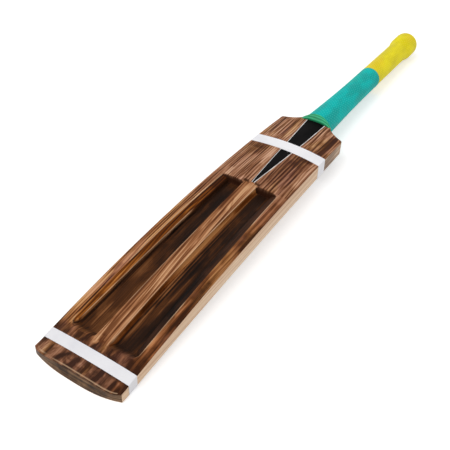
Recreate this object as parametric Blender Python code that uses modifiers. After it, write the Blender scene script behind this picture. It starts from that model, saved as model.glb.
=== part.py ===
"""A tennis ball cricket bat: a scooped willow blade with a laminated cane handle spliced into it.

The bat lies on its face: the toe's land and the knob touch the ground plane, and the scooped back
looks up. X runs along the bat towards the handle, Y across it, Z up. Every length is in metres.
Stations, the places along the bat, are measured from the line through the toe's two corners.
"""

import math

import bmesh
import bpy
from mathutils import Matrix, Vector

# Gap left between pieces that touch, and the glue line between the canes
CLEARANCE = 0.0003

# Blade in plan
BLADE_LENGTH = 0.480
TOE_START = -0.0007
TOE_WIDTH = 0.1078
BELLY_WIDTH = 0.1066
BELLY_SHARE = 0.4
SHOULDER_WIDTH = 0.0984
TOE_SWEEP_FACE = 0.0085
TOE_SWEEP_BACK = 0.0030
TOE_SWEEP_POWER = 2.4
TOE_SWEEP_FADE = 0.040
SHOULDER_CORNER = 0.0030
SHOULDER_DEPTH = 0.0140
SHOULDER_POWER = 1.5
NECK_WIDTH = 0.0450

# Blade from the side
TOE_EDGE = 0.0140
BELLY_EDGE = 0.0227
SHOULDER_EDGE = 0.0197
LAND_LENGTH = 0.0040
LAND_FADE = 0.008
SHOULDER_RISE = 0.0145
BOW = 0.0068

# Back of the blade
CROWN_TOE = 0.0017
CROWN_SHOULDER = 0.0028
CROWN_NECK = 0.0048
NECK_RISE_LENGTH = 0.050
FACE_EDGE_RADIUS = 0.0012
BACK_EDGE_RADIUS = 0.0008

# Splice: the V that the cane wedge fills, its cover film and the white edging round the film
SPLICE_LENGTH = 0.158
SPLICE_TIP_WIDTH = 0.0006
SPLICE_WIDTH_AT_NECK = 0.0248
SPLICE_FILM = 0.0010
SPLICE_EDGING_WIDTH = 0.0010
NECK_LENGTH = 0.0150
EAR_LENGTH = 0.0274

# Two long scoops in the back, the ridge between them and the ledge along their outer sides
SCOOP_START = 0.034
SCOOP_TO_SPLICE = 0.0045
SCOOP_RUNOUT = 0.016
SCOOP_OUTER_TOE = 0.0425
SCOOP_OUTER_SHOULDER = 0.0390
SCOOP_DEPTH_TOE = 0.0070
SCOOP_DEPTH_SHOULDER = 0.0095
SCOOP_ROUNDING = 0.0125
SCOOP_FILLET = 0.0025
SCOOP_DRAFT = 0.0012
LEDGE_WIDTH = 0.0065
LEDGE_DEPTH_TOE = 0.0022
LEDGE_DEPTH_SHOULDER = 0.0045
RIDGE_WIDTH = 0.0180
RIDGE_DROP = 0.0018
RIDGE_TOUCH = 0.0001
RIDGE_STEP_WIDTH = 0.0240

# Handle, turned about its own axis
HANDLE_LENGTH = 0.365
HANDLE_HEIGHT = 0.0135
BUTT_CAP = 0.0057
BAR_CONE_LENGTH = 0.0114
BAR_START_RADIUS = 0.0090
GRIP_RADIUS_LOW = 0.0200
GRIP_RADIUS = 0.0168
GRIP_TAPER_LENGTH = 0.154
GRIP_JOINT_SHARE = 0.5542
GRIP_WALL = 0.0018
GRIP_LIP = 0.0004
UPPER_GRIP_STEP = 0.0004
BINDING_WALL = 0.0008
BINDING_SETBACK = 0.0015

# Knob at the end of the handle
KNOB_RADIUS = 0.0196
KNOB_LENGTH = 0.052
KNOB_SWELL_LENGTH = 0.021
KNOB_DOME = 0.0120

# Canes and rubber springs laminated into the handle
SPRING_THICKNESS = 0.0012
SPRING_PITCH = 0.0070
CANE_MIDDLE_WIDTH = 0.0102

# Rubber collar rolled down over the neck
COLLAR_LENGTH = 0.0048
COLLAR_HALF_WIDTH = 0.0232
COLLAR_ABOVE = 0.0124
COLLAR_BELOW = 0.0150
COLLAR_SQUARENESS = 3.2
COLLAR_ROLLS = 2

# Tapes round the blade, let into shallow seats
TAPE_THICKNESS = 0.0005
TAPE_SEAT = 0.0005
TOE_TAPE_START = 0.0100
TOE_TAPE_WIDTH = 0.0126
SHOULDER_TAPE_SETBACK = 0.0753
SHOULDER_TAPE_WIDTH = 0.0210

# Stations that follow from these
SPLICE_TIP = BLADE_LENGTH - SPLICE_LENGTH
SCOOP_END = SPLICE_TIP - SCOOP_TO_SPLICE
NECK_END = BLADE_LENGTH + NECK_LENGTH
EAR_END = NECK_END + EAR_LENGTH
BAR_CONE_END = NECK_END + BAR_CONE_LENGTH
BINDING_START = BAR_CONE_END + BINDING_SETBACK
GRIP_TAPER_END = BAR_CONE_END + GRIP_TAPER_LENGTH
GRIP_JOINT = BLADE_LENGTH + HANDLE_LENGTH * GRIP_JOINT_SHARE
HANDLE_END = BLADE_LENGTH + HANDLE_LENGTH
KNOB_START = HANDLE_END - KNOB_LENGTH
KNOB_FULL = KNOB_START + KNOB_SWELL_LENGTH
SHOULDER_TAPE_START = BLADE_LENGTH - SHOULDER_TAPE_SETBACK

# How far a cutter runs past what it cuts, and a size larger than the bat's section
OVERRUN = 0.004
FAR = 0.080

# How finely round shapes are divided
TURNED_STEPS = 40
BLADE_COLUMNS = 12
FILLET_STEPS = 3
SHOULDER_STEPS = 9
SCOOP_END_STEPS = 6
DOME_STEPS = 7
ROLL_STEPS = 5
STATION_STEP = 0.015
FINE_STEP = 0.006
TAPER_STEP = 0.021
KNOB_STEP = 0.004

# Colours of the materials
WILLOW = (0.36, 0.20, 0.11)
CANE = (0.78, 0.62, 0.36)
SPRING_RUBBER = (0.05, 0.05, 0.05)
TWINE = (0.55, 0.50, 0.40)
TEAL = (0.02, 0.40, 0.38)
YELLOW = (0.74, 0.64, 0.05)
GREEN = (0.02, 0.38, 0.16)
WHITE = (0.80, 0.80, 0.84)
BLACK = (0.012, 0.011, 0.012)

parts = bpy.data.collections.new("cricket_bat")
cutters = bpy.data.collections.new("cutters")


def ease(value):
    """A smooth step from 0 to 1."""
    value = min(max(value, 0.0), 1.0)
    return value * value * (3 - 2 * value)


def blend(start, end, share):
    return start + (end - start) * share


def through(share, start, middle, end, middle_share):
    """The parabola through three values, at 0, middle_share and 1."""
    first = start * (share - middle_share) * (share - 1) / middle_share
    second = middle * share * (share - 1) / (middle_share * (middle_share - 1))
    third = end * share * (share - middle_share) / (1 - middle_share)
    return first + second + third


def blade_half_width(x):
    """Half the width of the blade, as if it ran on past its shoulders."""
    share = x / BLADE_LENGTH
    return through(share, TOE_WIDTH / 2, BELLY_WIDTH / 2, SHOULDER_WIDTH / 2, BELLY_SHARE)


def face_height(x):
    """The face above the ground: a flat land at the toe, then a long bow up to the shoulders."""
    run = max(x - LAND_LENGTH, 0.0)
    share = run / (BLADE_LENGTH - LAND_LENGTH)
    height = SHOULDER_RISE * share + 4 * BOW * share * (1 - share)
    return height * ease(run / LAND_FADE)


def crown(x):
    """How far the middle of the back stands over its edges."""
    along = CROWN_TOE + (CROWN_SHOULDER - CROWN_TOE) * x / BLADE_LENGTH
    rise = ease((x - BLADE_LENGTH + NECK_RISE_LENGTH) / (NECK_RISE_LENGTH + NECK_LENGTH))
    return along + (CROWN_NECK - CROWN_SHOULDER) * rise


def back_height(x, y):
    """The crowned back above the ground, before the scoops are cut."""
    edge = through(x / BLADE_LENGTH, TOE_EDGE, BELLY_EDGE, SHOULDER_EDGE, 0.5)
    return face_height(x) + edge + crown(x) * (1 - (y / blade_half_width(x)) ** 2)


def splice_half_width(x):
    """Half the width of the V, from its tip to the neck and on at the same angle."""
    return SPLICE_WIDTH_AT_NECK / 2 * (x - SPLICE_TIP) / (NECK_END - SPLICE_TIP)


def splice_station(half):
    """Where the V is this wide on each side of its middle."""
    return SPLICE_TIP + half * (NECK_END - SPLICE_TIP) / (SPLICE_WIDTH_AT_NECK / 2)


def handle_axis():
    """The handle's own frame: its local Z is the station along the bat, and its local X points down."""
    start = Vector((BLADE_LENGTH, 0, face_height(BLADE_LENGTH) + HANDLE_HEIGHT))
    rest = Vector((HANDLE_END - KNOB_DOME, 0, KNOB_RADIUS))
    along = (rest - start).normalized()
    across = Vector((0, 1, 0))
    up = along.cross(across).normalized()
    turn = Matrix((-up, across, along)).transposed().to_4x4()
    return Matrix.Translation(start - along * BLADE_LENGTH) @ turn


def grip_radius(x):
    """Outside of the grips, fat at the neck and slimmer above."""
    share = min(max((x - BAR_CONE_END) / (GRIP_TAPER_END - BAR_CONE_END), 0.0), 1.0)
    return GRIP_RADIUS + (GRIP_RADIUS_LOW - GRIP_RADIUS) * (1 - share) ** 2


def bar_radius(x):
    """Outside of the bare cane handle, under the binding and the grips."""
    return grip_radius(x) - GRIP_WALL - BINDING_WALL - 2 * CLEARANCE


def stations_between(start, end, step=STATION_STEP):
    count = max(1, math.ceil((end - start) / step))
    return [blend(start, end, i / count) for i in range(count + 1)]


def make_material(name, colour, roughness):
    material = bpy.data.materials.new(name)
    material.use_nodes = True
    shader = material.node_tree.nodes["Principled BSDF"]
    shader.inputs["Base Color"].default_value = (*colour, 1)
    shader.inputs["Roughness"].default_value = roughness
    shader.inputs["Metallic"].default_value = 0.0
    return material


def make_object(name, mesh, material=None):
    """A part where a material is given, else a hidden cutter or guide."""
    piece = bpy.data.objects.new(name, mesh)
    if material is None:
        piece.hide_render = True
        piece.display_type = "WIRE"
        cutters.objects.link(piece)
    else:
        mesh.materials.append(material)
        parts.objects.link(piece)
    return piece


def mesh_from(name, points, faces):
    mesh = bpy.data.meshes.new(name)
    work = bmesh.new()
    corners = [work.verts.new(point) for point in points]
    for face in faces:
        work.faces.new([corners[i] for i in face])
    bmesh.ops.recalc_face_normals(work, faces=work.faces)
    work.to_mesh(mesh)
    work.free()
    return mesh


def loft(name, loops, material=None):
    """A solid through closed loops. Each runs along its lower side, then back along its upper side."""
    size = len(loops[0])
    points = [point for loop in loops for point in loop]
    faces = []
    for i in range(len(loops) - 1):
        for j in range(size):
            k = (j + 1) % size
            faces.append((i * size + j, i * size + k, (i + 1) * size + k, (i + 1) * size + j))
    for base in (0, (len(loops) - 1) * size):
        for j in range(size // 2 - 1):
            faces.append((base + j, base + j + 1, base + size - 2 - j, base + size - 1 - j))
    return make_object(name, mesh_from(name, points, faces), material)


def boolean(target, cutter, operation="DIFFERENCE"):
    modifier = target.modifiers.new(operation.title() + " " + cutter.name, "BOOLEAN")
    modifier.operation = operation
    modifier.object = cutter
    modifier.solver = "EXACT"


def shade_round(piece, angle=math.radians(35)):
    piece.data.shade_smooth()
    piece.data.set_sharp_from_angle(angle=angle)


def turned(name, profile, material=None, closed=False):
    """A shape turned about the handle's axis from (station, radius) points, knob end first."""
    mesh = bpy.data.meshes.new(name)
    count = len(profile)
    edges = [(i, i + 1) for i in range(count - 1)]
    if closed:
        edges.append((count - 1, 0))
    mesh.from_pydata([(radius, 0, x) for x, radius in profile], edges, [])
    piece = make_object(name, mesh, material)
    piece.matrix_world = handle_axis()
    screw = piece.modifiers.new("Turn", "SCREW")
    screw.steps = TURNED_STEPS
    screw.render_steps = TURNED_STEPS
    screw.use_merge_vertices = True
    screw.merge_threshold = 0.00001
    screw.use_smooth_shade = True
    return piece


def turned_tube(name, outer, inner, material=None):
    """A turned sleeve: both profiles run from the knob end to the blade end."""
    return turned(name, outer + inner[::-1], material, closed=True)


def slab_loop(x, half, grow=0.0, rounding=0.0, sweep=0.0):
    """One cross-section of the blade. rounding, from 1 at the toe's end to 0, draws its edges in."""
    lower = []
    upper = []
    for radius, side in ((FACE_EDGE_RADIUS, lower), (BACK_EDGE_RADIUS, upper)):
        radius += grow
        reach = half + grow
        inner = [(reach - radius) * (2 * i / BLADE_COLUMNS - 1) for i in range(BLADE_COLUMNS + 1)]
        corner = []
        for i in range(FILLET_STEPS):
            angle = math.pi / 2 * i / FILLET_STEPS
            corner.append((reach - radius * (1 - math.cos(angle)), radius * (1 - math.sin(angle))))
        side += [(-y, rise) for y, rise in corner]
        side += [(y, 0.0) for y in inner]
        side += corner[::-1]
    points = []
    for side, inward in ((lower, 1), (upper[::-1], -1)):
        radius = (FACE_EDGE_RADIUS if inward == 1 else BACK_EDGE_RADIUS) + grow
        reach = TOE_SWEEP_FACE if inward == 1 else TOE_SWEEP_BACK
        for y, rise in side:
            place = x - reach * sweep * (1 - abs(y / half) ** TOE_SWEEP_POWER)
            surface = face_height(place) - grow if inward == 1 else back_height(place, y) + grow
            points.append((place, y, surface + inward * max(rise, radius * rounding)))
    return points


def grown_slab(name, start, end, grow, material=None):
    """A length of the blade's own section, grown or shrunk all round."""
    xs = stations_between(start, end, FINE_STEP)
    return loft(name, [slab_loop(x, blade_half_width(x), grow) for x in xs], material)


def blade_outline():
    """Stations and half-widths from the toe, round the shoulders and down the neck."""
    outline = [(x, blade_half_width(x)) for x in stations_between(TOE_SWEEP_FADE, BLADE_LENGTH)]
    corner_half = blade_half_width(BLADE_LENGTH)
    for i in range(1, FILLET_STEPS + 1):
        angle = math.pi / 2 * i / FILLET_STEPS
        x = BLADE_LENGTH + SHOULDER_CORNER * math.sin(angle)
        outline.append((x, corner_half - SHOULDER_CORNER * (1 - math.cos(angle))))
    top_x = BLADE_LENGTH + SHOULDER_CORNER
    top_half = corner_half - SHOULDER_CORNER
    for i in range(1, SHOULDER_STEPS + 1):
        angle = math.pi / 2 * i / SHOULDER_STEPS
        along = 1 - math.cos(angle) ** (2 / SHOULDER_POWER)
        down = math.sin(angle) ** (2 / SHOULDER_POWER)
        outline.append((top_x + SHOULDER_DEPTH * along, blend(top_half, NECK_WIDTH / 2, down)))
    outline.append((BAR_CONE_END - 2 * CLEARANCE, NECK_WIDTH / 2))
    return outline


def blade_body(material):
    """The plain blade: a loft from the swept toe to the neck."""
    loops = []
    for i in range(FILLET_STEPS + 1):
        angle = math.pi / 2 * i / FILLET_STEPS
        x = TOE_START + FACE_EDGE_RADIUS * (1 - math.cos(angle))
        loops.append(slab_loop(x, blade_half_width(x), rounding=1 - math.sin(angle), sweep=1.0))
    for x in stations_between(TOE_START + FACE_EDGE_RADIUS, TOE_SWEEP_FADE, FINE_STEP)[1:-1]:
        loops.append(slab_loop(x, blade_half_width(x), sweep=1 - ease(x / TOE_SWEEP_FADE)))
    loops += [slab_loop(x, half) for x, half in blade_outline()]
    return loft("blade", loops, material)


def scoop_cutter(side):
    """One scoop: a flat floor, filleted corners, a steep inner wall and a ledge along the outer one."""
    loops = []
    angles = [math.pi / 2 * i / SCOOP_END_STEPS for i in range(1, SCOOP_END_STEPS + 1)]
    xs = [SCOOP_START + SCOOP_RUNOUT * (1 - math.cos(angle)) for angle in angles]
    xs += stations_between(SCOOP_START + SCOOP_RUNOUT, SCOOP_END)[1:]
    for x in xs:
        share = (x - SCOOP_START) / (SCOOP_END - SCOOP_START)
        end = min((x - SCOOP_START) / SCOOP_RUNOUT, 1.0)
        fullness = math.sqrt(max(1 - (1 - end) ** 2, 0.0))
        depth = blend(SCOOP_DEPTH_TOE, SCOOP_DEPTH_SHOULDER, share) * fullness
        ledge = blend(LEDGE_DEPTH_TOE, LEDGE_DEPTH_SHOULDER, share) * fullness
        outer = blend(SCOOP_OUTER_TOE, SCOOP_OUTER_SHOULDER, share) - SCOOP_ROUNDING * (1 - fullness)
        inner = RIDGE_WIDTH / 2 + SCOOP_ROUNDING * (1 - fullness)
        wall = outer - LEDGE_WIDTH
        fillet = min(SCOOP_FILLET, depth / 3)
        bend = fillet * (1 - math.sqrt(0.5))
        section = [
            (inner, 0.0),
            (inner + SCOOP_DRAFT, depth - fillet),
            (inner + SCOOP_DRAFT + bend, depth - bend),
            (inner + SCOOP_DRAFT + fillet, depth),
            (wall - SCOOP_DRAFT - fillet, depth),
            (wall - SCOOP_DRAFT - bend, depth - bend),
            (wall - SCOOP_DRAFT, depth - fillet),
            (wall, ledge),
            (outer, 0.0),
        ]
        low = [(x, side * y, back_height(x, side * y) - drop) for y, drop in section]
        high = [(x, side * y, back_height(x, side * y) + OVERRUN) for y, _ in section]
        loops.append(low + high[::-1])
    return loft(f"cut_scoop_{'left' if side > 0 else 'right'}", loops)


def plank(name, start, end, half_width, low, high, material=None):
    """A board along the blade: half_width(x) wide on each side, between low(x, y) and high(x, y)."""
    loops = []
    for x in stations_between(start, end):
        ys = (-half_width(x), 0.0, half_width(x))
        under = [(x, y, low(x, y)) for y in ys]
        over = [(x, y, high(x, y)) for y in ys]
        loops.append(under + over[::-1])
    return loft(name, loops, material)


def below_back(depth):
    """The surface this deep under the crowned back."""
    return lambda x, y: back_height(x, y) - depth


def ridge_cutter():
    """Planes the ridge between the scoops down to a small step just before the splice."""

    def planed(x, y):
        run = (x - SCOOP_START) / (2 * SCOOP_RUNOUT)
        return back_height(x, y) - blend(RIDGE_TOUCH, RIDGE_DROP, ease(run))

    half = RIDGE_STEP_WIDTH / 2
    return plank("cut_ridge", SCOOP_START, SPLICE_TIP, lambda x: half, planed, below_back(-OVERRUN))


def splice_plank(name, end, grow, low, high, material=None):
    """The V in plan, grown sideways, with its sharp tip cut square at the step where it starts."""
    start = max(splice_station(SPLICE_TIP_WIDTH / 2 - grow), SPLICE_TIP - CLEARANCE)
    return plank(name, start, end, lambda x: splice_half_width(x) + grow, low, high, material)


def bar_profile(start, end, grow=0.0):
    """The turned cane handle, with a cone at the neck where it rises out of the blade."""
    xs = stations_between(BAR_CONE_END, min(GRIP_TAPER_END, end), TAPER_STEP)
    if end > GRIP_TAPER_END:
        xs.append(end)
    points = [(end, 0.0)]
    points += [(x, bar_radius(x) + grow) for x in reversed(xs)]
    points += [(NECK_END, BAR_START_RADIUS + grow), (start, BAR_START_RADIUS + grow), (start, 0.0)]
    return points


def axis_box(name, x_range, y_range, z_range, material=None):
    """A box in the handle's frame: stations along it, then across, then up towards the back."""
    down_range = (-z_range[1], -z_range[0])
    corners = [(z, y, x) for x in x_range for y in y_range for z in down_range]
    faces = [(0, 1, 3, 2), (4, 5, 7, 6), (0, 1, 5, 4), (2, 3, 7, 6), (0, 2, 6, 4), (1, 3, 7, 5)]
    piece = make_object(name, mesh_from(name, corners, faces), material)
    piece.matrix_world = handle_axis()
    return piece


def seat_cutter():
    """Everything outside the turned neck, past the end of the blade's own outline."""
    end = BAR_CONE_END + OVERRUN
    radius = bar_radius(BAR_CONE_END)
    outer = [(end, FAR), (NECK_END, FAR)]
    inner = [(end, radius), (NECK_END, radius)]
    return turned_tube("cut_neck_seat", outer, inner)


def band(name, start, width, outer_grow, inner_grow, material=None):
    """A band round the blade between two sizes of its own section."""
    piece = grown_slab(name, start, start + width, outer_grow, material)
    hollow = grown_slab(f"hollow_of_{name}", start - OVERRUN, start + width + OVERRUN, inner_grow)
    boolean(piece, hollow)
    return piece


def tape_seat(name, start, width):
    """Cuts a shallow seat for a tape round the blade."""
    return band(name, start - CLEARANCE, width + 2 * CLEARANCE, OVERRUN, -TAPE_SEAT)


def build_blade(neck_seat, shoulder_seat, material):
    blade = blade_body(material)
    boolean(blade, neck_seat)
    neck = turned("join_neck", bar_profile(NECK_END - OVERRUN, EAR_END))
    boolean(blade, neck, "UNION")
    for side in (-1, 1):
        boolean(blade, scoop_cutter(side))
    boolean(blade, ridge_cutter())
    below = below_back(FAR)
    above = below_back(-FAR)
    boolean(blade, splice_plank("cut_splice", EAR_END + OVERRUN, CLEARANCE / 2, below, above))
    film = below_back(SPLICE_FILM + CLEARANCE)
    rabbet_grow = SPLICE_EDGING_WIDTH + 1.5 * CLEARANCE
    boolean(blade, splice_plank("cut_rabbet", NECK_END + CLEARANCE, rabbet_grow, film, above))
    boolean(blade, tape_seat("cut_toe_tape_seat", TOE_TAPE_START, TOE_TAPE_WIDTH))
    boolean(blade, shoulder_seat)
    shade_round(blade)


def handle_core(neck_seat, shoulder_seat):
    """The whole cane handle before it is parted into sticks: wedge and turned bar, kept inside the V."""
    end = HANDLE_END - BUTT_CAP - CLEARANCE
    core = turned("guide_handle_core", bar_profile(NECK_END - OVERRUN / 2, end))
    film = below_back(SPLICE_FILM + CLEARANCE)
    half = SPLICE_WIDTH_AT_NECK
    start = splice_station(SPLICE_TIP_WIDTH)
    wedge_end = (NECK_END + BAR_CONE_END) / 2
    wedge = plank("join_wedge", start, wedge_end, lambda x: half, lambda x, y: face_height(x), film)
    boolean(wedge, neck_seat)
    boolean(core, wedge, "UNION")
    for side in (-1, 1):
        boolean(core, ear_cutter(side))
    boolean(core, shoulder_seat)
    return core


def ear_cutter(side):
    """Takes off the handle what lies outside the V, as far as the ends of the blade's ears."""
    loops = []
    for x in (SPLICE_TIP - OVERRUN, EAR_END + CLEARANCE):
        near = splice_half_width(x) - CLEARANCE / 2
        ys = sorted((side * near, side * FAR))
        low = [(x, y, -FAR) for y in ys]
        high = [(x, y, FAR) for y in ys]
        loops.append(low + high[::-1])
    return loft(f"cut_ear_{'left' if side > 0 else 'right'}", loops)


def build_canes(core, cane, rubber):
    """Parts the core into four layers of three canes, with a rubber spring between the layers."""
    half_gap = SPRING_THICKNESS / 2 + CLEARANCE
    layers = {
        "face": (-FAR, -SPRING_PITCH - half_gap),
        "mid_face": (-SPRING_PITCH + half_gap, -half_gap),
        "mid_back": (half_gap, SPRING_PITCH - half_gap),
        "back": (SPRING_PITCH + half_gap, FAR),
    }
    middle = CANE_MIDDLE_WIDTH / 2
    side_tip = splice_station(middle + SPLICE_TIP_WIDTH)
    columns = {
        "right": (-FAR, -middle - CLEARANCE / 2, side_tip),
        "middle": (-middle + CLEARANCE / 2, middle - CLEARANCE / 2, SPLICE_TIP),
        "left": (middle + CLEARANCE / 2, FAR, side_tip),
    }
    for layer, z_range in layers.items():
        for column, (low, high, start) in columns.items():
            name = f"cane_{layer}_{column}"
            stick = axis_box(name, (start, HANDLE_END), (low, high), z_range, cane)
            boolean(stick, core, "INTERSECT")
            shade_round(stick)
    for name, height in (("face", -SPRING_PITCH), ("centre", 0.0), ("back", SPRING_PITCH)):
        z_range = (height - SPRING_THICKNESS / 2, height + SPRING_THICKNESS / 2)
        strip = axis_box(f"rubber_spring_{name}", (SPLICE_TIP, HANDLE_END), (-FAR, FAR), z_range, rubber)
        boolean(strip, core, "INTERSECT")


def build_splice_cover(shoulder_seat, black, white):
    """The dark film over the wedge, and the white edging that frames it and meets at its tip."""
    end = NECK_END - CLEARANCE
    back = below_back(0.0)
    film = below_back(SPLICE_FILM)
    panel = splice_plank("splice_panel", end, -CLEARANCE / 2, film, back, black)
    boolean(panel, shoulder_seat)
    outer_grow = SPLICE_EDGING_WIDTH + CLEARANCE / 2
    edging = splice_plank("splice_edging", end, outer_grow, film, back, white)
    above = below_back(-OVERRUN)
    below = below_back(OVERRUN)
    boolean(edging, splice_plank("hollow_of_edging", end + OVERRUN, CLEARANCE / 2, below, above))
    boolean(edging, shoulder_seat)


def build_binding(material):
    """The twine wound over the bare cane, as a plain sleeve."""
    xs = stations_between(BINDING_START, GRIP_TAPER_END, TAPER_STEP)
    xs.append(HANDLE_END - BUTT_CAP - CLEARANCE)
    inner = [(x, bar_radius(x) + CLEARANCE) for x in reversed(xs)]
    outer = [(x, radius + BINDING_WALL) for x, radius in inner]
    return turned_tube("twine_binding", outer, inner, material)


def build_lower_grip(material):
    start = NECK_END + COLLAR_LENGTH + 2 * CLEARANCE
    end = GRIP_JOINT - CLEARANCE / 2
    xs = [start] + stations_between(BAR_CONE_END, GRIP_TAPER_END, TAPER_STEP) + [end]
    inner = [(x, grip_radius(x) - GRIP_WALL) for x in reversed(xs)]
    outer = [(end, grip_radius(end) - GRIP_LIP), (end - GRIP_LIP, grip_radius(end))]
    outer += [(x, grip_radius(x)) for x in reversed(xs[1:-1])]
    outer += [(start + GRIP_LIP, grip_radius(start)), (start, grip_radius(start) - GRIP_LIP)]
    return turned_tube("lower_grip", outer, inner, material)


def knob_radius(x):
    """Outside of the upper grip, which swells into the knob."""
    plain = grip_radius(x) - UPPER_GRIP_STEP
    return blend(plain, KNOB_RADIUS, ease((x - KNOB_START) / (KNOB_FULL - KNOB_START)))


def build_upper_grip(material):
    """The upper grip, closed over the end of the handle, with a flat disc in the middle of its dome."""
    start = GRIP_JOINT + CLEARANCE / 2
    dome = HANDLE_END - KNOB_DOME
    profile = [(HANDLE_END, 0.0)]
    for i in range(DOME_STEPS + 1):
        angle = math.pi / 2 * i / DOME_STEPS
        radius = KNOB_RADIUS - KNOB_DOME + KNOB_DOME * math.sin(angle)
        profile.append((dome + KNOB_DOME * math.cos(angle), radius))
    swell = stations_between(KNOB_START, KNOB_FULL, KNOB_STEP)
    profile += [(x, knob_radius(x)) for x in reversed(swell)]
    profile += [(start + GRIP_LIP, knob_radius(start)), (start, knob_radius(start) - GRIP_LIP)]
    bore = grip_radius(start) - GRIP_WALL
    bottom = HANDLE_END - BUTT_CAP
    profile += [(start, bore), (bottom, bore), (bottom, 0.0)]
    return turned("upper_grip", profile, material)


def collar_loop(x, fullness):
    """One ring of the collar's outside, from the neck's rounded oblong to a circle."""
    loop = []
    power = 2 / blend(COLLAR_SQUARENESS, 2.0, fullness)
    for i in range(TURNED_STEPS):
        angle = 2 * math.pi * (i + 0.5) / TURNED_STEPS - math.pi / 2
        cosine = math.cos(angle)
        sine = math.sin(angle)
        wide = blend(COLLAR_HALF_WIDTH, GRIP_RADIUS_LOW, fullness)
        tall = blend(COLLAR_ABOVE if sine > 0 else COLLAR_BELOW, GRIP_RADIUS_LOW, fullness)
        y = wide * math.copysign(abs(cosine) ** power, cosine)
        z = tall * math.copysign(abs(sine) ** power, sine)
        loop.append((-z, y, x))
    half = TURNED_STEPS // 2
    lower = [loop[(half + i) % TURNED_STEPS] for i in range(half)]
    upper = [loop[i] for i in range(half)]
    return lower + upper


def build_collar(material):
    """Rolled rubber where the grip meets the blade: oblong on the neck, round against the grip."""
    start = NECK_END + CLEARANCE
    roll = COLLAR_LENGTH / COLLAR_ROLLS
    loops = [collar_loop(start, 0.0)]
    for i in range(COLLAR_ROLLS):
        for j in range(1, ROLL_STEPS + 1):
            angle = math.pi / 2 * j / ROLL_STEPS
            along = start + roll * (i + 1 - math.cos(angle))
            loops.append(collar_loop(along, (i + math.sin(angle)) / COLLAR_ROLLS))
    collar = loft("grip_collar", loops, material)
    collar.matrix_world = handle_axis()
    boolean(collar, turned("hollow_of_collar", bar_profile(NECK_END - OVERRUN, EAR_END, CLEARANCE)))
    boolean(collar, neck_hollow())
    shade_round(collar)


def neck_hollow():
    """The turned neck of the blade, grown by the clearance, for the collar's bore."""
    radius = bar_radius(BAR_CONE_END) + CLEARANCE
    end = BAR_CONE_END + OVERRUN
    start = NECK_END - OVERRUN
    hollow = turned("hollow_of_neck", [(end, 0.0), (end, radius), (start, radius), (start, 0.0)])
    xs = stations_between(start - OVERRUN, end + OVERRUN)
    loops = [slab_loop(x, NECK_WIDTH / 2, CLEARANCE) for x in xs]
    boolean(hollow, loft("hollow_between_faces", loops), "INTERSECT")
    return hollow


def stand_on_origin():
    """Shifts every piece so that the ground under the bat's middle is the origin."""
    bpy.context.view_layer.update()
    graph = bpy.context.evaluated_depsgraph_get()
    low = Vector((math.inf,) * 3)
    high = Vector((-math.inf,) * 3)
    for piece in parts.objects:
        shape = piece.evaluated_get(graph)
        for corner in shape.data.vertices:
            point = shape.matrix_world @ corner.co
            low = Vector(map(min, low, point))
            high = Vector(map(max, high, point))
    bat = bpy.data.objects.new("bat", None)
    parts.objects.link(bat)
    for piece in list(parts.objects) + list(cutters.objects):
        if piece is not bat:
            piece.parent = bat
    bat.location = (-(low.x + high.x) / 2, -(low.y + high.y) / 2, -low.z)


def main():
    for piece in list(bpy.data.objects):
        bpy.data.objects.remove(piece, do_unlink=True)
    bpy.context.scene.collection.children.link(parts)
    bpy.context.scene.collection.children.link(cutters)
    willow = make_material("willow", WILLOW, 0.55)
    cane = make_material("cane", CANE, 0.6)
    rubber = make_material("spring_rubber", SPRING_RUBBER, 0.8)
    white = make_material("white_tape", WHITE, 0.5)
    edging = make_material("white_edging", WHITE, 0.3)
    neck_seat = seat_cutter()
    shoulder_seat = tape_seat("cut_shoulder_tape_seat", SHOULDER_TAPE_START, SHOULDER_TAPE_WIDTH)
    build_blade(neck_seat, shoulder_seat, willow)
    build_canes(handle_core(neck_seat, shoulder_seat), cane, rubber)
    build_splice_cover(shoulder_seat, make_material("black_film", BLACK, 0.35), edging)
    build_binding(make_material("twine", TWINE, 0.9))
    build_lower_grip(make_material("teal_rubber", TEAL, 0.65))
    build_upper_grip(make_material("yellow_rubber", YELLOW, 0.6))
    build_collar(make_material("green_rubber", GREEN, 0.45))
    inside = CLEARANCE - TAPE_SEAT
    outside = inside + TAPE_THICKNESS
    band("toe_tape", TOE_TAPE_START, TOE_TAPE_WIDTH, outside, inside, white)
    band("shoulder_tape", SHOULDER_TAPE_START, SHOULDER_TAPE_WIDTH, outside, inside, white)
    stand_on_origin()


main()
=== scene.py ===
import math

import bpy
import numpy as np
from mathutils import Matrix, Vector


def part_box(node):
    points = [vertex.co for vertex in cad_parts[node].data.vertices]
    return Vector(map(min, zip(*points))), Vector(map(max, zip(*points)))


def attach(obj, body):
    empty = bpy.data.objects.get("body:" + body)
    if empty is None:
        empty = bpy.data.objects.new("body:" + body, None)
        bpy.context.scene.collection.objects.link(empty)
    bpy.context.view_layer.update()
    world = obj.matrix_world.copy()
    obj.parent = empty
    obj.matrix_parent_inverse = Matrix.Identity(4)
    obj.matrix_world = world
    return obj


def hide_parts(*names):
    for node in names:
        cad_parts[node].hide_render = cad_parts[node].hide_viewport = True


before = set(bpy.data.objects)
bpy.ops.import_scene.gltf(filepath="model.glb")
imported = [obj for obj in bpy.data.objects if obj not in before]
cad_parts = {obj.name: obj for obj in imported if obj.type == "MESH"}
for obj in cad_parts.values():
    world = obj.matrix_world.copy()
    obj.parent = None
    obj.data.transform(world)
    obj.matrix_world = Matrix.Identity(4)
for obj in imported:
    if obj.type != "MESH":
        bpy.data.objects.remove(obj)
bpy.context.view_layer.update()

# The camera, fitted to the photo's edges, with angles in degrees
CAMERA_AIM = Vector((0.24959, -0.00777, 0.025))
CAMERA_HEADING = 30.638
CAMERA_DOWN = 40.749
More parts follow.
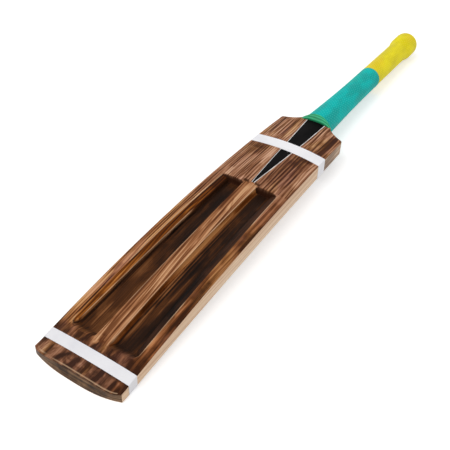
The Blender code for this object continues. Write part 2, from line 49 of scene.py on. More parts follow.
CAMERA_ROLL = 3.254
CAMERA_DISTANCE = 0.85297
CAMERA_LENS = 57.895
CAMERA_NEAREST = 0.01

# Grain and rubber
GROWTH_PITCH = 0.0031
GROWTH_WIDENING = 0.32
RIDGE_GRAIN_SLANT = math.radians(2.5)
DOT_PITCH = 0.0028
DOTS_AROUND = 19

# The colour is made lighter to the left and darker to the right, and darker on the right rim and at the toe
SIDE_TONE = 0.1
SIDE_TONE_REACH = 0.03
RIM_TONE = -0.11
TOE_TONE = -0.31
TOE_TONE_FADE = (0.0205, 0.0505)

# How clearly the growth lines show past the toe, and how much more on the left rim
LINED_RIMS = 0.35
LINED_LEFT = 0.6
LINED_FADE = (0.0225, 0.0425)

# Streaks that the burning left, and two wide bands of painted shadow by the shoulder tape, in millimetres:
# the stations where each starts and ends, its places across the blade there, its half-width, and how much
# lighter it is, or darker where negative
STREAK_TAPER = 5
STREAKS = (
    # Between the toe's end and the toe tape
    (-9, 10, 43, 43, 2, 0.4), (-9, 10, 38.3, 38.5, 0.8, -0.5), (-9, 12, 29, 15, 3, -0.3),
    (-6, 10, 29, 15, 2.5, -0.3), (-9, 12, 8.5, 7, 3, -0.25), (-9, 10, 10, 4, 3, -0.45),
    (-9, 12, 1, 0, 3, 0.25), (-9, 10, -7, -7.5, 1, -0.45), (-9, 12, -14, -15, 3.5, 0.2),
    (-9, 10, -21.5, -23, 1.6, -0.5), (-9, 10, -27, -27.5, 1.5, 0.4), (-9, 10, -34.5, -35, 3, 0.3),
    (-9, 10, -40.5, -40.5, 1.2, -0.45), (-9, 10, -44.5, -44.5, 1.6, 0.35),
    # Between the toe tape and the scoops
    (35, 46, 42, 38, 1.6, 0.4), (22, 34, 26, 22, 4, -0.4), (23, 44, 18, 12, 3, -0.4),
    (24, 34, 12, 2, 2.5, 0.2), (28, 42, 5, 3, 3, 0.25), (23, 37, 4, -3, 1.6, -0.5),
    (22, 32, -10, -8, 2, 0.3), (22, 34, -18, -16, 1, -0.3), (22, 36, -42, -39, 3, -0.35),
    # Left rim
    (130, 200, 51, 51.5, 1.5, -0.25), (160, 310, 49.5, 48.8, 0.9, -0.35), (46, 116, 48.5, 48.5, 4.5, 0.34),
    (112, 128, 50, 46, 3, -0.25), (262, 330, 47.5, 47, 3.5, -0.2), (140, 300, 46.3, 45.8, 1.1, -0.45),
    (190, 250, 46, 45, 3, 0.1), (150, 250, 44.6, 44.4, 0.7, 0.25), (42, 118, 43.5, 45, 1.2, -0.75),
    (140, 262, 43.5, 43.1, 0.9, 0.3),
    # Left ledge and floor
    (50, 124, 41.4, 41.6, 0.45, -0.3), (160, 290, 40.6, 40.4, 0.5, 0.15), (56, 136, 39.8, 39.4, 0.4, -0.2),
    (165, 290, 38.6, 38.8, 0.8, -0.3), (222, 290, 36, 36, 2.6, 0.28), (175, 275, 35.4, 34.8, 0.7, 0.25),
    (286, 318, 35, 35, 5, -0.25), (108, 178, 28.6, 28.6, 2, 0.15), (43, 87, 25.6, 24.9, 0.9, 0.5),
    (184, 309, 20, 20, 8, -0.15),
    # Ridge
    (34, 70, 8.2, 8.4, 1.3, -0.3), (212, 262, 4, 5, 3, 0.3), (38, 84, 1.5, 0.5, 5, 0.16),
    (140, 320, 1, 1, 12, -0.08), (195, 240, -3.5, 3.5, 1, -0.35), (255, 322, -3, 1, 4, 0.32),
    (40, 140, -4, 1.5, 0.7, -0.4), (262, 285, -6, 3, 0.9, -0.3), (55, 145, -2, -2, 7, 0.06),
    (45, 185, -7, -2.5, 1.8, 0.25), (180, 260, -7, -5.5, 0.7, -0.3),
    # Right floor
    (60, 300, -10.6, -10.9, 0.5, -0.5), (34, 88, -12, -12.2, 1, -0.6), (90, 300, -12.4, -12.6, 1.8, 0.45),
    (70, 290, -13.6, -14.2, 0.6, -0.4), (47, 107, -14.4, -15.9, 2, 0.35),
    (108, 198, -14.8, -16.2, 1.2, 0.25), (60, 280, -15.2, -16, 0.6, 0.3), (80, 250, -17, -17.6, 0.7, -0.4),
    (108, 198, -21.4, -22.4, 1.5, -0.3), (83, 173, -24.5, -26.4, 0.8, 0.35), (160, 308, -28, -29, 13, 0.13),
    (284, 320, -27.5, -29.5, 4, 0.3), (52, 168, -31.5, -33.4, 4, -0.35),
    # Right rim
    (46, 120, -44.5, -45.5, 1.6, 0.3), (95, 128, -44.5, -47, 1.6, 0.3), (150, 300, -46, -46, 3, -0.06),
    (60, 180, -50.5, -49.5, 2, -0.2), (205, 262, -51, -51.5, 1.2, -0.45),
    # Between the scoops and the shoulder tape
    (328, 400, 41.5, 42.5, 0.9, -0.3), (326, 398, 38, 39, 0.8, -0.25), (316, 338, 37, 36, 2.6, 0.28),
    # On the next line, the wide dark band from 390 to 408 is painted shadow along the shoulder tape's
    # toe-side edge
    (390, 408, 36, 36, 13, -0.35), (316, 336, 35.5, 34.5, 2, 0.2), (324, 392, 33, 32.4, 0.8, 0.2),
    (318, 404, 30, 30, 20, -0.07), (330, 396, 22.4, 21.6, 0.7, -0.3), (322, 372, 14.6, 14.2, 1, -0.45),
    (355, 412, 11, 13, 2.6, 0.36), (378, 402, 9.5, 11.5, 1.8, 0.25), (330, 402, -13, -14, 1, -0.35),
    (326, 398, -16, -17, 0.9, -0.35), (335, 400, -18.5, -19.5, 0.8, -0.25), (318, 350, -23, -23, 1.4, 0.25),
    (330, 400, -22.5, -24.5, 0.9, -0.35), (322, 404, -24, -27, 13, -0.1), (322, 400, -26.5, -27, 1, -0.35),
    # On the next line, the wide dark band from 397 to 408 is painted shadow along the shoulder tape's
    # toe-side edge
    (318, 365, -31, -31.5, 1.5, 0.3), (397, 408, -32, -32, 14, -0.35), (322, 395, -35, -34, 1.2, -0.4),
    (328, 388, -38, -39.5, 1, -0.3), (335, 424, -46.5, -46.5, 4.5, 0.55),
    # Under the shoulder tape and beyond it
    (430, 486, 46, 46.5, 1.2, 0.25), (430, 488, 43.2, 44, 0.9, 0.35), (428, 490, 40, 41, 1.2, -0.5),
    (430, 486, 37.4, 37.8, 0.9, 0.35), (436, 488, 34.5, 33, 1, -0.5), (426, 494, 33, 33, 14, -0.18),
    (430, 486, 31, 31.2, 0.9, 0.3), (430, 490, 28.5, 29, 1.1, -0.5), (372, 436, 29, 26, 8, -0.36),
    (430, 486, 26.2, 26.6, 0.8, 0.35), (432, 488, 24, 24.5, 0.9, -0.45), (424, 500, 20.6, 22, 1.4, -0.5),
    (434, 486, 17.8, 19, 0.8, 0.25), (430, 475, 15.5, 15.5, 2, 0.3), (428, 494, -20.5, -18.5, 1.2, -0.5),
    (426, 490, -22, -22, 12, 0.08), (430, 478, -24.5, -23, 0.9, 0.3), (428, 480, -28, -26.5, 1.2, -0.4),
    (376, 440, -28, -28, 13, -0.22), (452, 488, -31, -31, 2.5, 0.3), (428, 478, -34.5, -33, 1, -0.3),
    (414, 484, -40.5, -40, 4.5, -0.75), (430, 476, -47.8, -48, 1.6, 0.3),
)

# Gap between neighbours, as in the solids
CLEARANCE = 0.0003

# Blade in plan, in metres from the line through the toe's corners. Widths are at toe, belly and shoulders
BLADE_LENGTH = 0.48
TOE_START = -0.0007
BLADE_WIDTHS = (0.1078, 0.1066, 0.0984)
BELLY_SHARE = 0.4
TOE_SWEEP_FACE = 0.0085
TOE_SWEEP_BACK = 0.0064
TOE_SWEEP_POWER = 2.8
TOE_BACK_POWER = 8.0
SHOULDER_CORNER = 0.003
SHOULDER_DEPTH = 0.014
SHOULDER_POWER = 1.5
SHOULDER_SKEW = 0.0045
SHOULDER_SKEW_RUN = 0.04
TOE_SKEW = 0.0026
NECK_WIDTH = 0.045
NECK_LENGTH = 0.015

# Blade from the side: its edge's height at toe, middle and shoulders, its bow, and the crown of its back
EDGE_HEIGHTS = (0.014, 0.0227, 0.0197)
LAND_LENGTH = 0.004
LAND_FADE = 0.008
SHOULDER_RISE = 0.0145
BOW = 0.0068
CROWN_TOE = 0.0017
CROWN_SHOULDER = 0.0028
CROWN_NECK = 0.0048
NECK_RISE_LENGTH = 0.05
FACE_EDGE_RADIUS = 0.0012
BACK_EDGE_RADIUS = 0.0008

# Splice
SPLICE_LENGTH = 0.158
SPLICE_WIDTH_AT_NECK = 0.0248
SPLICE_FILM = 0.001
# The cover's edges at the V's tip, half-way and at the neck, white as far in as here and black from there
BORDER_LEFT = (0.0004, 0.0069, 0.0134)
BORDER_RIGHT = (0.0034, 0.0107, 0.0147)
BORDER_WHITE = 0.0008
BORDER_BLACK = 0.001
PANEL_LAP = 0.00012
PANEL_SETBACK = 0.00625

# Scoops, with the radii of their outer and inner corners, the ledges, and the planed ridge between
SCOOP_START = 0.0325
SCOOP_TO_SPLICE = 0.0045
SCOOP_RUNOUT = 0.014
SCOOP_OUTER = (0.0426, 0.0421, 0.0393)
SCOOP_DEPTHS = (0.007, 0.0095)
SCOOP_TOE_CORNERS = (0.012, 0.005)
SCOOP_END_CORNERS = (0.006, 0.0025)
SCOOP_WALL = 0.0016
LEDGE_INNER = (0.0378, 0.0332, 0.0318)
LEDGE_START = 0.0045
LEDGE_RUN = 0.012
LEDGE_DEPTHS = (0.002, 0.0042)
RIDGE_WIDTHS = (0.0186, 0.0168, 0.0186)
RIDGE_DROP = 0.0018
RIDGE_STEP_WIDTH = 0.024
EDGE_SOFTNESS = 0.0006
FLOOR_SOFTNESS = 0.0024

# Tapes and their seats. The shoulder tape's middle bows out and its sides back, the right side less
TAPE_SEAT = 0.0005
TOE_TAPE_START = 0.01
TOE_TAPE_WIDTH = 0.0126
SHOULDER_TAPE_SETBACK = 0.0745
SHOULDER_TAPE_WIDTH = 0.019
TAPE_PROUD = 0.0003
TAPE_INSIDE = 0.0002
TAPE_ARCH = 0.0026
TAPE_ARCH_FADE = 0.02
TAPE_ARCH_MIDDLE = 0.4
TAPE_ARCH_LEAN = 0.1

# Handle
HANDLE_LENGTH = 0.365
HANDLE_HEIGHT = 0.0135
BAR_CONE_LENGTH = 0.0114
GRIP_RADIUS_LOW = 0.02
GRIP_RADIUS = 0.0168
GRIP_TAPER_LENGTH = 0.154
GRIP_JOINT_SHARE = 0.5542
GRIP_WALL = 0.0018
GRIP_LIP = 0.0004
GRIP_BEAD = 0.0002
GRIP_BEAD_LENGTH = 0.003
UPPER_GRIP_STEP = 0.0002
BUTT_CAP = 0.0057
KNOB_RADIUS = 0.0196
KNOB_LENGTH = 0.052
KNOB_SWELL_LENGTH = 0.021
KNOB_DOME = 0.012

# Collar
COLLAR_LENGTH = 0.0048
COLLAR_HALF_WIDTH = 0.0248
COLLAR_OVERLAP = 0.0012
COLLAR_FLANK_OVERLAP = 0.002
COLLAR_ABOVE = 0.0124
COLLAR_BELOW = 0.015
COLLAR_SQUARENESS = 3.2
COLLAR_ROLLS = 3
COLLAR_GROOVE = 0.0005
COLLAR_BORE = 0.9
# Where the collar gets painted shade in its grooves and painted highlights on its crests
COLLAR_MARKS = {"groove": 0.0, "crest_highlight": 0.45}
COLLAR_MARK_WIDTH = 0.13

# Stations that follow
SPLICE_TIP = BLADE_LENGTH - SPLICE_LENGTH
SCOOP_END = SPLICE_TIP - SCOOP_TO_SPLICE
NECK_END = BLADE_LENGTH + NECK_LENGTH
BAR_CONE_END = NECK_END + BAR_CONE_LENGTH
GRIP_TAPER_END = BAR_CONE_END + GRIP_TAPER_LENGTH
GRIP_JOINT = BLADE_LENGTH + HANDLE_LENGTH * GRIP_JOINT_SHARE
HANDLE_END = BLADE_LENGTH + HANDLE_LENGTH
KNOB_START = HANDLE_END - KNOB_LENGTH
KNOB_FULL = KNOB_START + KNOB_SWELL_LENGTH
SHOULDER_TAPE_START = BLADE_LENGTH - SHOULDER_TAPE_SETBACK
SHOULDER_TAPE_END = SHOULDER_TAPE_START + SHOULDER_TAPE_WIDTH
TOE_SEAT = (TOE_TAPE_START - CLEARANCE, TOE_TAPE_START + TOE_TAPE_WIDTH + CLEARANCE)
SHOULDER_SEAT = (SHOULDER_TAPE_START - CLEARANCE, SHOULDER_TAPE_END + CLEARANCE)
CUT_DEPTH = 4 * SCOOP_DEPTHS[1]

# Pale edge lines, partly wear and partly painted highlight: which edge, on which side, its first and last
# station, and how pale
EDGE_LINE_WIDTH = 0.0004
WEAR_AND_HIGHLIGHTS = (
    ("outer", "left", 0.135, SCOOP_END, 1.0),
    ("outer", "right", 0.048, 0.118, 1.0),
    ("outer", "right", 0.255, SCOOP_END, 1.0),
    ("inner", "right", 0.042, SCOOP_END, 1.0),
    ("inner", "left", 0.09, 0.215, 0.6),
    ("ledge", "left", 0.05, 0.24, 0.8),
    ("toe", "both", 0.0385, 0.046, 0.5),
)

# Lines of painted shadow at the ridge's small step and round the scoops' shoulder ends
STEP_SPAN = (0.0045, 0.0115)
STEP_SPAN_FADE = 0.001
STEP_LINE = 0.0011
END_LINE = 0.001
END_DARKNESS = 0.95

# Lengths over which zones fade into each other
ZONE_FADE = 0.01
SHORT_FADE = 0.004
RIM_FADE = 0.003
RIM_TONE_FADE = 0.03

# How finely the visible shapes are divided, the back across half the ridge, the inner wall, the floor,
# the ledge's wall, the ledge and the rim
BACK_COLUMNS = (20, 4, 40, 4, 14, 20)
FACE_COLUMNS = 16
BORDER_COLUMNS = 9
CORNER_STEPS = 3
FINE_STEP = 0.0008
COARSE_STEP = 0.0025
TURNED_STEPS = 96
SHOULDER_STEPS = 14
DOME_STEPS = 10
ROLL_STEPS = 8
FACE_POINTS = FACE_COLUMNS + 1 + 2 * CORNER_STEPS

# Light: the sky's level, and each lamp's heading, height, softness and strength
SKY_LEVEL = 0.55
LAMPS = (("key", 150, 55, 40, 1.2), ("fill", -120, 35, 60, 0.5))

# Floor, a hair under the part
FLOOR_REACH = 6.0
FLOOR_DROP = 0.0002
FLOOR_GLOW = 0.45
FLOOR_GREY = (0.8, 0.8, 0.8, 1)
WHITE = (1, 1, 1, 1)

# Where the stations start along X
TOE_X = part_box("blade")[0].x + TOE_SWEEP_FACE - TOE_START


def ease(value):
    """A smooth step from 0 to 1."""
    value = np.clip(value, 0.0, 1.0)
    return value * value * (3 - 2 * value)


def blend(start, end, share):
    return start + (end - start) * share


def fade_in(value, start, end):
    """A smooth step from 0 at start to 1 at end."""
    return ease((value - start) / (end - start))


def arc(steps, turn=0.25):
    """Cosine and sine at each step of a part of a turn."""
    angles = [2 * math.pi * turn * i / steps for i in range(steps + 1)]
    return [(math.cos(angle), math.sin(angle)) for angle in angles]


def through(share, values, middle_share=0.5):
    """The parabola through three values, at 0, middle_share and 1."""
    start, middle, end = values
    first = start * (share - middle_share) * (share - 1) / middle_share
    second = middle * share * (share - 1) / (middle_share * (middle_share - 1))
    third = end * share * (share - middle_share) / (1 - middle_share)
    return first + second + third


def soft_min(a, b, softness):
    """The lesser of two values, rounded where they cross."""
    near = np.maximum(softness - np.abs(a - b), 0.0) / softness
    return np.minimum(a, b) - near * near * softness / 4


def blade_half(x):
    return through(x / BLADE_LENGTH, BLADE_WIDTHS, BELLY_SHARE) / 2


def face_height(x):
    run = np.maximum(x - LAND_LENGTH, 0.0)
    share = run / (BLADE_LENGTH - LAND_LENGTH)
    return (SHOULDER_RISE * share + 4 * BOW * share * (1 - share)) * ease(run / LAND_FADE)


def plain_back(x, y):
    """The crowned back before the scoops are cut."""
    edge = through(x / BLADE_LENGTH, EDGE_HEIGHTS)
    rise = ease((x - BLADE_LENGTH + NECK_RISE_LENGTH) / (NECK_RISE_LENGTH + NECK_LENGTH))
    crown = blend(CROWN_TOE, CROWN_SHOULDER, x / BLADE_LENGTH) + (CROWN_NECK - CROWN_SHOULDER) * rise
    return face_height(x) + edge + crown * (1 - (y / blade_half(x)) ** 2)


def cornered(a, b, radius):
    """Distance in from two walls that meet in a rounded corner."""
    inside = radius - np.hypot(np.maximum(radius - a, 0), np.maximum(radius - b, 0))
    return np.where((a < radius) & (b < radius), inside, np.minimum(a, b))


def scoop_share(x):
    return np.clip((x - SCOOP_START) / (SCOOP_END - SCOOP_START), 0, 1)


def scoop_outer(x):
    """From the blade's middle to the outer edges of the scoops."""
    return through(scoop_share(x), SCOOP_OUTER)


def ridge_half(x):
    return through(scoop_share(x), RIDGE_WIDTHS) / 2


def ledge_width(x):
    """The ledges start in a point near the toe and narrow again at the shoulders."""
    inner = through(scoop_share(x), LEDGE_INNER)
    return (scoop_outer(x) - inner) * ease((x - SCOOP_START - LEDGE_START) / LEDGE_RUN)


def scoop_places(x, y):
    """Where a point lies in its scoop: how far in from its outer, inner, toe and shoulder edges."""
    return scoop_outer(x) - np.abs(y), np.abs(y) - ridge_half(x), x - SCOOP_START, SCOOP_END - x


def scoop_opening(x, y):
    """How far inside a scoop's rounded outline a point lies."""
    outer, inner, toe, end = scoop_places(x, y)
    corners = [(side, toe, radius) for side, radius in zip((outer, inner), SCOOP_TOE_CORNERS)]
    corners += [(side, end, radius) for side, radius in zip((outer, inner), SCOOP_END_CORNERS)]
    return np.minimum.reduce([cornered(*corner) for corner in corners])


def scoop_depth(x, y):
    """How deep the scoops are cut under the plain back."""
    outer, _, toe, _ = scoop_places(x, y)
    share = scoop_share(x)
    floor = blend(*SCOOP_DEPTHS, share) * ease(toe / SCOOP_RUNOUT) ** 0.8
    steep = SCOOP_DEPTHS[1] / SCOOP_WALL
    width = ledge_width(x)
    slope = blend(*LEDGE_DEPTHS, share) / np.maximum(width, SCOOP_WALL)
    bench = slope * outer + (steep - slope) * np.maximum(outer - width, 0.0)
    wall = scoop_opening(x, y) * steep
    depth = soft_min(soft_min(bench, wall, FLOOR_SOFTNESS), floor, FLOOR_SOFTNESS)
    return np.where(scoop_opening(x, y) > 0, np.maximum(depth, 0.0), 0.0)


def corner_inset(distance, radius):
    """How far a rounded corner draws a side in, at this distance from the end that it turns into."""
    reach = radius - np.clip(distance, 0, radius)
    return radius - np.sqrt(radius * radius - reach * reach)


def back_columns(x, reach):
    """Places across the back, with columns along the edges of the scoops and ledges."""
    toe, end = x - SCOOP_START, SCOOP_END - x
    corners = zip(SCOOP_TOE_CORNERS, SCOOP_END_CORNERS)
    insets = [corner_inset(toe, at_toe) + corner_inset(end, at_end) for at_toe, at_end in corners]
    outer, inner = scoop_outer(x) - insets[0], ridge_half(x) + insets[1]
    bench = outer - max(ledge_width(x) - scoop_outer(x) + outer, SCOOP_WALL / 2)
    knots = (0.0, inner, inner + SCOOP_WALL, bench - SCOOP_WALL, bench, outer, blade_half(x))
    half = [0.0]
    for start, end, count in zip(knots, knots[1:], BACK_COLUMNS):
        half += [blend(start, end, (i + 1) / count) for i in range(count)]
    half = np.array(half) * reach / knots[-1]
    return np.concatenate([-half[:0:-1], half])


def ridge_drop(x, y):
    """How far the ridge is planed down, as far as the small step before the splice."""
    half = RIDGE_STEP_WIDTH / 2
    across = ease((half - np.abs(y)) / EDGE_SOFTNESS)
    along = ease((x - SCOOP_START) / (2 * SCOOP_RUNOUT)) * ease((SPLICE_TIP - x) / EDGE_SOFTNESS)
    return RIDGE_DROP * across * along


def back_height(x, y):
    return plain_back(x, y) - np.maximum(scoop_depth(x, y), ridge_drop(x, y))


def splice_sides(x):
    """Where the V's two flanks run."""
    half = SPLICE_WIDTH_AT_NECK / 2 * (x - SPLICE_TIP) / (NECK_END - SPLICE_TIP)
    return -half, half


def border_sides(x):
    """Where the cover's edges run on the back. They lie a little to the right, as in the photo."""
    share = (x - SPLICE_TIP) / (NECK_END - SPLICE_TIP)
    return -through(share, BORDER_RIGHT), through(share, BORDER_LEFT)


def stations(start, end, step):
    return list(np.linspace(start, end, max(1, math.ceil((end - start) / step)) + 1))


def handle_axis():
    """The handle's own frame: local Z is the station, and local X points down."""
    start = Vector((BLADE_LENGTH, 0, face_height(BLADE_LENGTH) + HANDLE_HEIGHT))
    rest = Vector((HANDLE_END - KNOB_DOME, 0, KNOB_RADIUS))
    along = (rest - start).normalized()
    across = Vector((0, 1, 0))
    turn = Matrix((-along.cross(across), across, along)).transposed().to_4x4()
    return Matrix.Translation(start - along * BLADE_LENGTH) @ turn


def grip_radius(x):
    share = min(max((x - BAR_CONE_END) / (GRIP_TAPER_END - BAR_CONE_END), 0.0), 1.0)
    return GRIP_RADIUS + (GRIP_RADIUS_LOW - GRIP_RADIUS) * (1 - share) ** 2


def knob_radius(x):
    plain = grip_radius(x) - UPPER_GRIP_STEP
    return blend(plain, KNOB_RADIUS, float(ease((x - KNOB_START) / (KNOB_FULL - KNOB_START))))


def new_mesh(name, rings, closed=False, turned=False, caps=None):
    """Quads between rings of (station, y, z), closed in a loop or with a cap at both ends."""
    size = len(rings[0])
    first, last = list(range(size)), list(range(len(rings) * size - size, len(rings) * size))
    if caps is None:
        caps = [first[::-1], last] if turned else [first, last[::-1]]
    faces = []
    for i in range(len(rings) if closed else len(rings) - 1):
        after = (i + 1) % len(rings)
        for j in range(size):
            a, b = (j, (j + 1) % size) if turned else ((j + 1) % size, j)
            faces.append((i * size + a, i * size + b, after * size + b, after * size + a))
    points = [(float(x) + TOE_X, float(y), float(z)) for ring in rings for x, y, z in ring]
    mesh = bpy.data.meshes.new(name)
    mesh.from_pydata(points, [], faces if closed else [*faces, *caps])
    return mesh


def new_object(name, data):
    thing = bpy.data.objects.new(name, data)
    bpy.context.scene.collection.objects.link(thing)
    return thing


def new_piece(mesh, materials, node, smooth=35):
    """A visible piece in the model's frame that stands for a CAD node."""
    for material in materials:
        mesh.materials.append(material)
    piece = new_object(mesh.name, mesh)
    mesh.shade_smooth()
    mesh.set_sharp_from_angle(angle=math.radians(smooth))
    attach(piece, "root")
    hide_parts(node)
    return piece


def line(distance, half_width=EDGE_LINE_WIDTH):
    return np.exp(-((distance / half_width) ** 2))


def stations_of(mesh):
    """The station of each point of a mesh, and its place across the blade."""
    spots = np.zeros(len(mesh.vertices) * 3, np.float32)
    mesh.vertices.foreach_get("co", spots)
    x, y = spots.reshape(-1, 3).astype(float).T[:2]
    return x - TOE_X, y


def mark(mesh, name, values):
    """Gives each point of a mesh a number that its material reads by name."""
    layer = mesh.attributes.new(name, "FLOAT", "POINT")
    layer.data.foreach_set("value", np.ascontiguousarray(values, np.float32))


def tape_bow(x, y):
    """How far the shoulder tape and the back beside it bow towards the handle."""
    before = ease((x - SHOULDER_TAPE_START) / TAPE_ARCH_FADE + 1)
    after = ease((SHOULDER_TAPE_END - x) / TAPE_ARCH_FADE + 1)
    share = y / blade_half(x)
    return TAPE_ARCH * before * after * (TAPE_ARCH_MIDDLE - share**2 - TAPE_ARCH_LEAN * share)


def slab_ring(x, half=None, shrink=0.0, rounding=0.0, sweep=0.0):
    """One ring round the blade: along its face from right to left, then back over its crown."""
    half = half or blade_half(x)
    ring = []
    sides = (
        ("face", FACE_EDGE_RADIUS, TOE_SWEEP_FACE, TOE_SWEEP_POWER),
        ("back", BACK_EDGE_RADIUS, TOE_SWEEP_BACK, TOE_BACK_POWER),
    )
    skew = SHOULDER_SKEW * fade_in(x, BLADE_LENGTH - SHOULDER_SKEW_RUN, BLADE_LENGTH) / blade_half(x)
    reach = half - shrink
    cosines, sines = np.array(arc(CORNER_STEPS)[:-1]).T
    for side, radius, swept, power in sides:
        flat = (reach - radius) * np.linspace(-1, 1, FACE_COLUMNS + 1)
        if side == "back":
            flat = back_columns(x, reach - radius)
        corner = reach - radius * (1 - cosines)
        lift = radius * (1 - sines)
        y = np.concatenate([-corner, flat, corner[::-1]])
        lift = np.concatenate([lift, 0 * flat, lift[::-1]])
        lift = np.maximum(lift, radius * rounding)
        share = y / half
        place = x - swept * sweep * (1 - np.abs(share) ** power)
        place += skew * y - TOE_SKEW * sweep * np.maximum(share, 0) ** 3
        if side == "face":
            ring += zip(place, y, face_height(place) + shrink + lift)
        else:
            place += tape_bow(x, y)
            ring += reversed(list(zip(place, y, back_height(place, y) - shrink - lift)))
    return ring


def blade_rings():
    """The blade's rings from the toe to the neck, with the seats of both tapes."""
    rings = []
    for cosine, sine in arc(CORNER_STEPS + 1):
        x = TOE_START + FACE_EDGE_RADIUS * (1 - cosine)
        rings.append(slab_ring(x, rounding=1 - sine, sweep=1.0))
    swept_end = TOE_START + FACE_EDGE_RADIUS
    spans = (
        (swept_end, FINE_STEP, 0.0),
        (TOE_SEAT[0], COARSE_STEP, TAPE_SEAT),
        (TOE_SEAT[1], COARSE_STEP, 0.0),
        (SCOOP_START, FINE_STEP, 0.0),
        (SCOOP_START + SCOOP_RUNOUT, COARSE_STEP, 0.0),
        (SCOOP_END - 3 * SCOOP_END_CORNERS[0], FINE_STEP, 0.0),
        (SPLICE_TIP, COARSE_STEP, 0.0),
        (SHOULDER_SEAT[0], COARSE_STEP, TAPE_SEAT),
        (SHOULDER_SEAT[1], COARSE_STEP, 0.0),
        (BLADE_LENGTH, COARSE_STEP, 0.0),
    )
    last_shrink = 0.0
    for (start, step, shrink), (end, _, _) in zip(spans, spans[1:]):
        xs = stations(start, end, step)
        for x in xs[1:] if shrink == last_shrink else xs:
            sweep = np.clip((TOE_SEAT[0] - x) / (TOE_SEAT[0] - swept_end), 0, 1)
            rings.append(slab_ring(x, shrink=shrink, sweep=sweep))
        last_shrink = shrink
    corner_half = blade_half(BLADE_LENGTH)
    for cosine, sine in arc(CORNER_STEPS)[1:]:
        x = BLADE_LENGTH + SHOULDER_CORNER * sine
        rings.append(slab_ring(x, corner_half - SHOULDER_CORNER * (1 - cosine)))
    for cosine, sine in arc(SHOULDER_STEPS)[1:]:
        x = BLADE_LENGTH + SHOULDER_CORNER + SHOULDER_DEPTH * (1 - max(cosine, 0.0) ** (2 / SHOULDER_POWER))
        down = sine ** (2 / SHOULDER_POWER)
        rings.append(slab_ring(x, blend(corner_half - SHOULDER_CORNER, NECK_WIDTH / 2, down)))
    rings.append(slab_ring(NECK_END + COLLAR_LENGTH / 2, NECK_WIDTH / 2))
    return rings


def cap_faces(ring, base):
    """Polygons that close a ring: each edge of the face side with the back's edges above it."""
    back_y = [ring[-1 - i][1] for i in range(len(ring) - FACE_POINTS)]
    above = [int(np.searchsorted(back_y, ring[i][1])) for i in range(FACE_POINTS)]
    above[0] = 0
    above[-1] = len(back_y) - 1
    last = base + len(ring) - 1
    faces = []
    for i in range(FACE_POINTS - 1):
        over = [last - k for k in range(above[i], above[i + 1] + 1)]
        faces.append([base + i + 1, base + i, *over])
    return faces


def cut_out(piece, name, start, sides, wider, depth):
    """Cuts a V out of a piece, from this deep under the back up, and bakes the cut into its mesh."""
    rings = []
    for x in stations(start, NECK_END + COLLAR_LENGTH, SHOULDER_TAPE_WIDTH):
        low, high = sides(x)
        low, high = low - wider, high + wider
        corners = ((low, -depth), (high, -depth), (high, KNOB_RADIUS), (low, KNOB_RADIUS))
        rings.append([(x, y, plain_back(x, 0.0) + z) for y, z in corners])
    cutter = new_object(name, new_mesh(name, rings, turned=True))
    modifier = piece.modifiers.new(name, "BOOLEAN")
    modifier.operation = "DIFFERENCE"
    modifier.object = cutter
    modifier.solver = "EXACT"
    bpy.context.view_layer.update()
    graph = bpy.context.evaluated_depsgraph_get()
    mesh = bpy.data.meshes.new_from_object(piece.evaluated_get(graph))
    piece.modifiers.clear()
    piece.data = mesh
    bpy.data.objects.remove(cutter)


def build_blade(back, raw, toe_end):
    rings = blade_rings()
    size = len(rings[0])
    toe_cap = cap_faces(rings[0], 0)
    neck_cap = [face[::-1] for face in cap_faces(rings[-1], (len(rings) - 1) * size)]
    slots = [0 if FACE_POINTS <= j < size - 1 else 1 for j in range(size)] * (len(rings) - 1)
    slots += [2] * len(toe_cap) + [1] * len(neck_cap)
    mesh = new_mesh("scooped_blade", rings, caps=toe_cap + neck_cap)
    blade = new_piece(mesh, (back, raw, toe_end), "blade")
    blade.data.polygons.foreach_set("material_index", slots)
    start = SPLICE_TIP - CLEARANCE
    cut_out(blade, "splice", start, splice_sides, CLEARANCE / 2, CUT_DEPTH)
    cut_out(blade, "rabbet", start, border_sides, CLEARANCE / 2, SPLICE_FILM + CLEARANCE)
    paint_blade(blade.data)


def build_border(material):
    """The cover's border, a strip of film that is lowered where the tape crosses it."""
    rings = []
    spans = [(SPLICE_TIP, SHOULDER_SEAT[0], 0.0), (*SHOULDER_SEAT, TAPE_SEAT)]
    spans.append((SHOULDER_SEAT[1], NECK_END - CLEARANCE, 0.0))
    for start, end, lowered in spans:
        for x in stations(start, end, COARSE_STEP):
            low, high = border_sides(x)
            black = np.linspace(low + BORDER_BLACK, high - BORDER_BLACK, BORDER_COLUMNS)
            y = np.concatenate([(low, low + BORDER_WHITE), black, (high - BORDER_WHITE, high)])
            place = x + tape_bow(x, y)
            top = plain_back(place, y)
            under = list(zip(place, y, top - SPLICE_FILM))
            rings.append([*zip(place, y, top - lowered), *reversed(under)])
    border = new_piece(new_mesh("cover_border", rings), [material], "splice_edging")
    cut_out(border, "panel", SPLICE_TIP + PANEL_SETBACK, splice_sides, -PANEL_LAP, CUT_DEPTH)
    x, y = stations_of(border.data)
    low, high = border_sides(x)
    mark(border.data, "white", np.minimum(y - low, high - y) < (BORDER_WHITE + BORDER_BLACK) / 2)


def build_shoulder_tape(material):
    """A thin band that bows a little towards the handle across the back."""
    xs = stations(SHOULDER_TAPE_START, SHOULDER_TAPE_END, COARSE_STEP)
    rings = [slab_ring(x, shrink=-TAPE_PROUD) for x in xs]
    rings += [slab_ring(x, shrink=TAPE_INSIDE) for x in reversed(xs)]
    mesh = new_mesh("shoulder_tape_band", rings, closed=True)
    new_piece(mesh, [material], "shoulder_tape")


def on_handle(name, rings):
    """A mesh from closed rings in the handle's frame."""
    place = handle_axis()
    rings = [[place @ Vector(point) for point in ring] for ring in rings]
    return new_mesh(name, rings, closed=True, turned=True)


def turned_piece(name, profile, material, node):
    """A piece turned about the handle's axis from a closed line of (station, radius)."""
    circle = arc(TURNED_STEPS, 1)[:-1]
    rings = [[(radius * cosine, radius * sine, x) for x, radius in profile] for cosine, sine in circle]
    new_piece(on_handle(name, rings), [material], node)


